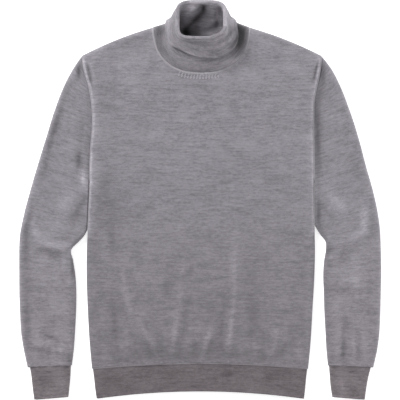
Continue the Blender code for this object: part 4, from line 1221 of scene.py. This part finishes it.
# The turned edge, round from the left by the front: its radius, the share of the stand that the
# turned-down layer covers, and how far that layer's lower edge stands off.
TURN = table(
    "round radius share flare",
    (0.00, 2.2, 0.44, 1.5),
    (0.08, 2.0, 0.46, 3.0),
    (0.15, 2.0, 0.42, 3.0),
    (0.25, 2.0, 0.52, 3.0),
    (0.36, 2.0, 0.58, 3.0),
    (0.44, 2.0, 0.52, 2.5),
    (0.505, 2.0, 0.38, 1.0),
    (0.53, 2.0, 0.26, 0.5),
    (0.56, 2.0, 0.20, 0.5),
    (0.62, 2.4, 0.24, 0.5),
    (0.75, 3.3, 0.36, 1.5),
    (0.88, 2.4, 0.26, 0.5),
    (0.94, 2.2, 0.24, 0.5),
    (0.97, 2.2, 0.30, 0.5),
    (1.00, 2.2, 0.44, 1.5),
)
NECK_GAP = 0.5  # how far inside the front's neckline the collar starts
BACK_NECK_GAP = 2.2  # and how far outside the back's, above the panel
FRONT_RISE = 58.0  # degrees at which the stand leaves the front
BACK_RISE = 2.0  # and the back
MOUTH_RISE = 66.0  # and at which it arrives at its mouth
STAND_PULL = 0.3  # how far the stand keeps its slope at each end
STAND_RINGS = 33  # how many rings of points the stand, the turned edge and the layer below it add
EDGE_RINGS = 12
TURNED_RINGS = 21


def unit(vectors):
    return vectors / np.linalg.norm(vectors, axis=-1, keepdims=True)


def collar_base():
    """The ring where the collar is linked on: the front's neckline, then the back's."""
    front_z = front_height(front_neck[:, 0], front_neck[:, 1])
    behind = back_neck[::-1][1:-1]
    behind_z = back_height(behind[:, 0], behind[:, 1])
    ring = np.concatenate([np.column_stack([front_neck, front_z]), np.column_stack([behind, behind_z])])
    forward = unit(np.roll(ring, -1, axis=0)[:, :2] - np.roll(ring, 1, axis=0)[:, :2])
    inward = np.where(np.arange(len(ring)) < len(front_neck), NECK_GAP, -BACK_NECK_GAP)
    ring[:, 0] -= forward[:, 1] * inward
    ring[:, 1] += forward[:, 0] * inward
    return ring


def mouth_ring(front_count, back_count):
    """The turned edge: a rounded outline that faces up and leans back."""
    angle = np.linspace(math.pi, 3 * math.pi, 2 * HALF_SAMPLES + 1)
    power = 2 / MOUTH_SQUARE
    x = MOUTH_CENTRE[0] + MOUTH_HALF[0] * np.sign(np.cos(angle)) * np.abs(np.cos(angle)) ** power
    y = MOUTH_CENTRE[1] + MOUTH_HALF[1] * np.sign(np.sin(angle)) * np.abs(np.sin(angle)) ** power
    outline = np.column_stack([x, y])
    fore = outline[:HALF_SAMPLES + 1]
    hind = outline[HALF_SAMPLES:]
    fore = at_lengths(fore, np.linspace(0, length_along(fore)[-1], front_count))
    hind = at_lengths(hind, np.linspace(0, length_along(hind)[-1], back_count + 2))[1:-1]
    ring = np.concatenate([fore, hind])
    share = (ring[:, 1] - MOUTH_CENTRE[1] + MOUTH_HALF[1]) / (2 * MOUTH_HALF[1])
    ring[:, 1] += MOUTH_PULL * ease((ring[:, 0] - MOUTH_PULL_X[0]) / MOUTH_PULL_X[1]) * (1 - share)
    return np.column_stack([ring, MOUTH_Z_FRONT + share * (MOUTH_Z_BACK - MOUTH_Z_FRONT)])


base = collar_base()
mouth = mouth_ring(len(front_neck), len(base) - len(front_neck))
count = len(base)
rise = np.full(count, math.radians(FRONT_RISE))
behind_share = np.arange(1, count - len(front_neck) + 1) / (count - len(front_neck) + 1)
lying = np.sin(math.pi * behind_share) ** 0.5
rise[len(front_neck):] = np.radians(FRONT_RISE + (BACK_RISE - FRONT_RISE) * lying)
run = length_along(np.concatenate([mouth, mouth[:1]]))
radius = smooth(run[:-1] / run[-1], TURN["round"], TURN["radius"])[:, None]
covered = smooth(run[:-1] / run[-1], TURN["round"], TURN["share"])[:, None]
flare = smooth(run[:-1] / run[-1], TURN["round"], TURN["flare"])[:, None]


def stand(share):
    """The stand's outer face, a curve up from each point of its base to the mouth."""
    reach = np.linalg.norm(mouth - base, axis=1)
    inward = unit(mouth[:, :2] - base[:, :2])
    start = np.column_stack([inward * np.cos(rise)[:, None], np.sin(rise)])
    top_rise = math.radians(MOUTH_RISE)
    end = np.column_stack([inward * math.cos(top_rise), np.full(count, math.sin(top_rise))])
    leave = base + start * (STAND_PULL * reach)[:, None]
    arrive = mouth - end * (STAND_PULL * reach)[:, None]
    s = share
    t = 1 - share
    return t**3 * base + 3 * s * t**2 * leave + 3 * s**2 * t * arrive + s**3 * mouth


def outward(share):
    """The directions that point out of the stand and up along it."""
    upward = stand(share) - stand(share - 0.02)
    around = np.roll(stand(share), -1, axis=0) - np.roll(stand(share), 1, axis=0)
    return unit(np.cross(around, upward)), unit(upward)


# Creases of the turned-down layer, and folds of the back wall that show inside the mouth.
TURN_CREASES = table(
    FOLD_COLUMNS,
    (-28, 297, 5, 289, 3.5, -0.9),
    (5, 289, 30, 294, 3.5, -0.9),
    (30, 294, 45, 308, 3.5, -1.3),
    (-31, 290, 6, 282, 4.5, 1.2),
    (6, 282, 36, 288, 4.5, 0.8),
    (-60, 328, -52, 303, 4.0, 1.5),
    (-52, 330, -44, 304, 3.5, -1.3),
    (-69, 322, -57, 290, 4.0, -1.3),
    (-49, 287, -30, 278, 3.5, -2.0),
    (50, 306, 70, 326, 4.0, -1.5),
    (43, 293, 65, 308, 4.0, 1.2),
    (54, 322, 64, 340, 4.0, 1.1),
)
WALL_FOLDS = table(
    FOLD_COLUMNS,
    (-34, 314, 14, 370, 8.0, 5.0),
    (-30, 345, -12, 362, 9.0, -3.5),
    (6, 322, 36, 342, 11.0, -3.5),
    (34, 330, 36, 362, 5.0, 2.5),
)
# Painted shade and painted light: a painted shadow on the stand's front below the turned-down layer,
# painted shade and highlights on that layer, and painted light and shadow on the back wall that shows
# inside the mouth.
STAND_PAINTED_SHADING = table(
    FOLD_COLUMNS,
    (-78, 371, -78, 290, 12.2, -0.74),
    (-75, 292, -60, 269, 8.7, -0.3),
    (77, 375, 77, 284, 14.5, -1.1),
    (77, 299, 56, 271, 9.5, -0.36),
    (58, 273, 16, 265, 8.4, -0.34),
    (66, 341, 92, 328, 5.7, -0.3),
    (-29, 275, 1, 265, 5.7, 0.16),
    (9, 254, 73, 265, 6.8, 0.26),
)
TURN_PAINTED_SHADING = table(
    FOLD_COLUMNS,
    (-29, 288, 47, 286, 8.7, -0.2),
    (-18, 280, 50, 276, 7.6, -0.12),
    (10, 271, 54, 275, 6.5, -0.25),
    (-45, 282, -28, 276, 2.3, -0.25),
    (-22, 295, 3, 292, 2.1, -0.05),
    (-29, 290, 9, 284, 2.1, -0.08),
    (62, 330, 47, 292, 6.8, -0.2),
    (54, 337, 62, 303, 5.7, -0.14),
    (72, 328, 70, 299, 6.2, -0.6),
    (72, 306, 54, 282, 6.2, -0.6),
    (54, 314, 37, 294, 2.3, 0.1),
    (-56, 333, -54, 311, 3.8, 0.05),
    (-66, 330, -62, 299, 4.6, -0.24),
    (-52, 303, -45, 290, 3, -0.1),
    (-45, 360, -48, 307, 7.6, -0.3),
    (-33, 305, 28, 301, 4.6, 0.28),
    (45, 371, 54, 347, 6.5, 0.25),
    (50, 333, 43, 311, 2.7, 0.08),
)
WALL_PAINTED_SHADING = table(
    FOLD_COLUMNS,
    (-14, 375, -18, 345, 10.6, 1.7),
    (16, 373, 28, 349, 8.7, 1.1),
    (10, 375, 43, 370, 6.5, 1.7),
    (1, 326, 29, 328, 9.5, -0.1),
    (33, 364, 33, 341, 2.7, 0.9),
    (-33, 371, -33, 349, 4.6, -0.2),
    (-28, 349, -20, 335, 7.6, 0.5),
    (7, 375, 7, 358, 4.6, -1.1),
    (7, 358, -29, 324, 6.1, -1.25),
    (-37, 318, -12, 316, 8.5, -1.1),
    (41, 352, 41, 326, 4.6, 1.1),
    (39, 356, 37, 330, 2.3, -0.4),
)
WALL_FROM_Y = 300.0  # the folds come in behind here, over this length
WALL_BLEND = 20.0
WALL_LOW = 0.45  # shares of the stand over which they come in above its base and go out below its mouth
WALL_HIGH = 0.2


def creased_wall(share):
    """The stand with its folds, which leave the base and the mouth as they are."""
    place = stand(share)
    out, _ = outward(max(share, 0.05))
    behind = ease((place[:, 1] - WALL_FROM_Y) / WALL_BLEND)
    window = ease(share / WALL_LOW) * ease((1 - share) / WALL_HIGH)
    relief = folded(place[:, 0], place[:, 1], WALL_FOLDS) * behind * window
    return place + out * relief[:, None]


# The outer face takes the painted shade of the front's tables, and the inner face the painted light
# and shadow of the back wall's, lifted by a painted pale share. The turned edge is painted darker at
# its front, less so at its back, and palest at its back and right.
DARKEST = 0.1
WALL_PALE = 0.25
EDGE_BACK_Y = 325.0
EDGE_RIGHT_X = -20.0
EDGE_FRONT = 0.84
EDGE_BACK = 0.9
EDGE_BACK_RIGHT = 1.25
rings = [creased_wall(share) for share in np.linspace(0.0, 1.0, STAND_RINGS + 1)]
fore = np.arange(count) < len(front_neck)
outer_shade = []
inner_shade = []
for ring in rings:
    outer_shade.append(1 + np.where(fore, creased(ring[:, 0], ring[:, 1], STAND_PAINTED_SHADING), 0.0))
    inner_shade.append(1 + np.where(fore, 0.0, WALL_PALE + creased(ring[:, 0], ring[:, 1], WALL_PAINTED_SHADING)))
edge_back = np.where(mouth[:, 0] > EDGE_RIGHT_X, EDGE_BACK_RIGHT, EDGE_BACK)
edge_shade = np.where(mouth[:, 1] > EDGE_BACK_Y, edge_back, EDGE_FRONT)
out, up = outward(1.0)
for angle in np.radians(np.linspace(0, 180, EDGE_RINGS + 1)[1:]):
    rings.append(mouth + radius * ((1 - math.cos(angle)) * out + math.sin(angle) * up))
    outer_shade.append(edge_shade)
for share in np.linspace(0.0, 1.0, TURNED_RINGS + 1)[1:]:
    at = 1 - covered * share
    out, up = outward(at)
    layer = stand(at) + out * (2 * radius + flare * share**1.5)
    relief = creased(layer[:, 0], layer[:, 1], TURN_CREASES) * ease(share / 0.3)
    rings.append(layer + out * relief[:, None])
    outer_shade.append(1 + creased(layer[:, 0], layer[:, 1], TURN_PAINTED_SHADING) + painted_relief_shade(relief))
inner_shade = np.array(inner_shade + outer_shade[len(inner_shade):])
collar_knit = knit_finish("melange_collar", (0.385, 0.363, 0.398), (0.187, 0.176, 0.196),
                          wale=1.1, course=0.9, rib=2.2, relief=0.5)
collar = grid_cloth("collar_tube", np.array(rings), closed=True)
shades = np.maximum(np.concatenate([np.ravel(outer_shade), np.ravel(inner_shade)]), DARKEST)
collar.data.attributes["shade"].data.foreach_set("value", shades.astype(np.float32))
dress(collar, "collar", collar_knit)

# Linking seams. The panels are joined stitch by stitch with the garment's own yarn, which leaves a
# fine chain of loops on each seam, and short upright loops at the middle of the neckline.
LOOP_PITCH = 1.6
TICK_PITCH = 5.8
TICKS_MIDDLE = -4.0  # the upright loops run this far to both sides of their middle
TICKS_HALF = 37.0
TICK_ROWS = (("neck_ticks_inner", 3.4), ("neck_ticks_outer", 8.6))  # and this far out from the neckline
TICK_LIFT = 0.2  # heights of the loops' middles above the cloth
NECK_LIFT_OF_SEAM = 0.5
ARM_LIFT_OF_SEAM = 0.1
SIDE_LIFT_OF_SEAM = 1.3  # where the sleeve presses against the side seam
HEM_LIFT_OF_SEAM = 0.4
HEM_CHAIN_LEFT = -203.0
HEM_CHAIN_RIGHT = 203.4
SEAM_POINTS = 60
bpy.ops.mesh.primitive_torus_add(major_segments=10, minor_segments=5, major_radius=0.75 * MM,
                                 minor_radius=0.3 * MM)
loop = bpy.context.active_object
loop.name = "loop"
loop.scale = (1.5, 1.1, 1.0)
bpy.ops.object.transform_apply(location=True, rotation=True, scale=True)
loop_shape = np.array([v.co for v in loop.data.vertices]) / MM
loop_faces = [tuple(face.vertices) for face in loop.data.polygons]
bpy.data.objects.remove(loop)


def chain(name, path, up, material, pitch=LOOP_PITCH, stretch=(1.0, 1.0, 1.0)):
    """Loops along a path, each lying on the plane that up is square to, and stretched along the path,
    across it and upwards."""
    path = np.asarray(path, float)
    up = np.broadcast_to(up, path.shape)
    run = length_along(path)
    stations = np.arange(0.5 * pitch, run[-1], pitch)
    middle = at_lengths(path, stations)
    ahead = unit(at_lengths(path, np.minimum(stations + 0.5, run[-1])) - at_lengths(path, stations - 0.5))
    lift = np.stack([np.interp(stations, run, axis) for axis in up.T], axis=1)
    across = unit(np.cross(lift, ahead))
    lift = np.cross(ahead, across)
    sized = loop_shape * stretch
    shape = (middle[:, None] + sized[None, :, :1] * ahead[:, None] + sized[None, :, 1:2] * across[:, None]
             + sized[None, :, 2:] * lift[:, None])
    vertices = (shape.reshape(-1, 3) - (*LAY_CENTRE, 0.0)) * MM
    first = [k * len(loop_shape) for k in range(len(stations))]
    faces = [tuple(start + v for v in face) for start in first for face in loop_faces]
    mesh = bpy.data.meshes.new(name)
    mesh.from_pydata(vertices.tolist(), [], faces)
    mesh.shade_smooth()
    seam = bpy.data.objects.new(name, mesh)
    bpy.context.scene.collection.objects.link(seam)
    mesh.materials.append(material)
    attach(seam, "root")
    return seam


def linking_yarn(name, dark, light):
    """The garment's yarn by itself, without stitches."""
    yarn = Finish(name)
    place = yarn.add("ShaderNodeTexCoord", {}, {})
    grain = yarn.add("ShaderNodeTexNoise", {},
                     {"Vector": place.outputs["Object"], "Scale": 900.0, "Detail": 2.0})
    tone = yarn.add("ShaderNodeMix", {"data_type": "RGBA"},
                    {0: grain.outputs["Fac"], 6: (*dark, 1.0), 7: (*light, 1.0)})
    yarn.feed(yarn.shader, {"Base Color": tone.outputs[2], "Roughness": 0.9, "Sheen Weight": 0.2})
    return yarn.material


knit_yarn = linking_yarn("linking_yarn", (0.34, 0.32, 0.35), (0.54, 0.52, 0.56))
band_yarn = linking_yarn("band_linking_yarn", (0.18, 0.165, 0.18), (0.30, 0.28, 0.30))
UP = (0.0, 0.0, 1.0)


def on_front(plan, lift):
    return np.column_stack([plan, front_height(plan[:, 0], plan[:, 1]) + lift])


neck_run = neckline(NECK_FRONT, 60, (2.0, 0.0))
neck_ahead = np.gradient(neck_run, axis=0)
neck_out = unit(np.column_stack([neck_ahead[:, 1], -neck_ahead[:, 0]]))
chain("neck_seam", on_front(neck_run + neck_out * 0.1, NECK_LIFT_OF_SEAM), UP, knit_yarn,
      stretch=(1.0, 1.5, 1.4))
ticked = abs(neck_run[:, 0] - TICKS_MIDDLE) < TICKS_HALF
for name, away in TICK_ROWS:
    chain(name, on_front((neck_run + neck_out * away)[ticked], TICK_LIFT), UP, knit_yarn,
          pitch=TICK_PITCH, stretch=(1.1, 2.3, 1.2))
for name, edge, side in (("left", body_left, -1), ("right", body_right, 1)):
    ys = np.linspace(SHOULDER_Y - 1.0, ARMPIT_Y + 1.0, 120)
    height = seam_height(ys) + (ARM_EDGE_Z - seam_height(ys)) * armhole_open(ys)
    path = np.column_stack([edge(ys) + side * SLEEVE_GAP / 2, ys, height + ARM_LIFT_OF_SEAM])
    chain("armhole_seam_" + name, path, UP, knit_yarn)
    ys = np.linspace(ARMPIT_Y - 1.0, HEM_SEAM_Y + 1.0, 160)
    height = seam_height(ys) + SIDE_LIFT_OF_SEAM * beside_sleeve(ys)
    path = np.column_stack([edge(ys) - side * 0.2, ys, height])
    chain("side_seam_" + name, path, (side, 0.0, 0.0), knit_yarn)
    corner = np.array((edge(SHOULDER_Y), SHOULDER_Y))
    end = neck_run[0] if side < 0 else neck_run[-1]
    along = np.linspace(0.01, 0.99, SEAM_POINTS)
    plan = corner + along[:, None] * (end - corner)
    plan[:, 1] += bulge(along)
    path = np.column_stack([plan, np.full(SEAM_POINTS, SHOULDER_Z)])
    chain("shoulder_seam_" + name, path, (side * 0.37, 0.93, 0.0), knit_yarn)
for name, sections, side in (("left", CUFF_LEFT, -1), ("right", CUFF_RIGHT, 1)):
    along = np.linspace(0.02, 0.98, SEAM_POINTS)
    x, y = across_sleeve(along, side * sections["in_x"][0], side * sections["out_x"][0],
                         sections["in_y"][0], sections["out_y"][0])
    width = abs(x[-1] - x[0])
    z, _ = tube_heights(width, along, sections["height"][0], FOLD_Z, CUFF_ROLL, FOLD_Z)
    chain("cuff_seam_" + name, np.column_stack([x, y + 0.4, z - 0.1]), UP, band_yarn)
xs = np.linspace(HEM_CHAIN_LEFT, HEM_CHAIN_RIGHT, 240)
from_side = 1 + np.minimum(xs - HEM_CHAIN_LEFT, HEM_CHAIN_RIGHT - xs)
band_z = FOLD_Z + SIDE_SEAM + (HEM_HEIGHT - FOLD_Z) * rounded(from_side, BAND_ROLL)
path = np.column_stack([xs, hem_seam(xs) - 0.3, band_z + HEM_LIFT_OF_SEAM])
chain("hem_seam", path, UP, band_yarn)

# The floor is a plain pale sheet, lit from below as on a light table. The light is a soft box from
# the upper left, a wide one above and a low one on the right.
bpy.ops.mesh.primitive_plane_add(size=6.0, location=(0.0, 0.0, -0.0005))
floor = bpy.context.active_object
floor.name = "floor"
bpy.ops.object.transform_apply(location=True, rotation=True, scale=True)
pale = Finish("pale_floor")
pale.feed(pale.shader, {"Base Color": (0.9, 0.9, 0.9, 1.0), "Roughness": 0.9, "Specular IOR Level": 0.1,
                        "Emission Color": (1.0, 1.0, 1.0, 1.0), "Emission Strength": 0.62})
floor.data.materials.append(pale.material)
for name, place, size, power in (
        ("key", (-3.2, 3.2, 4.2), 1.6, 316.0),
        ("fill", (0.8, -0.4, 3.2), 3.0, 12.0),
        ("side", (3.2, 0.0, 0.9), 1.2, 46.0)):
    bpy.ops.object.light_add(type="AREA", location=place)
    light = bpy.context.active_object
    light.name = name
    light.data.shape = "SQUARE"
    light.data.size = size
    light.data.energy = power
    x, y, z = place
    light.rotation_euler = (math.atan2(math.hypot(x, y), z), 0.0, math.atan2(x, -y))
world = bpy.data.worlds.new("studio")
world.use_nodes = True
sky = world.node_tree.nodes["Background"]
sky.inputs["Color"].default_value = (1.0, 1.0, 1.0, 1.0)
sky.inputs["Strength"].default_value = 0.38
bpy.context.scene.world = world
bpy.context.scene.view_settings.view_transform = "Standard"

# The camera looks straight down on the laid garment from five metres. It sees a square 0.76 m wide,
# so that the sweater nearly fills the frame.
CAMERA_HEIGHT = 5.0
VIEW_WIDTH = 0.760
bpy.ops.object.camera_add(location=(-0.00023, 0.00274, CAMERA_HEIGHT), rotation=(0.0, 0.0, 0.0))
camera = bpy.context.active_object
camera.name = "camera"
camera.data.sensor_width = 36.0
camera.data.lens = camera.data.sensor_width * CAMERA_HEIGHT / VIEW_WIDTH
bpy.context.scene.camera = camera
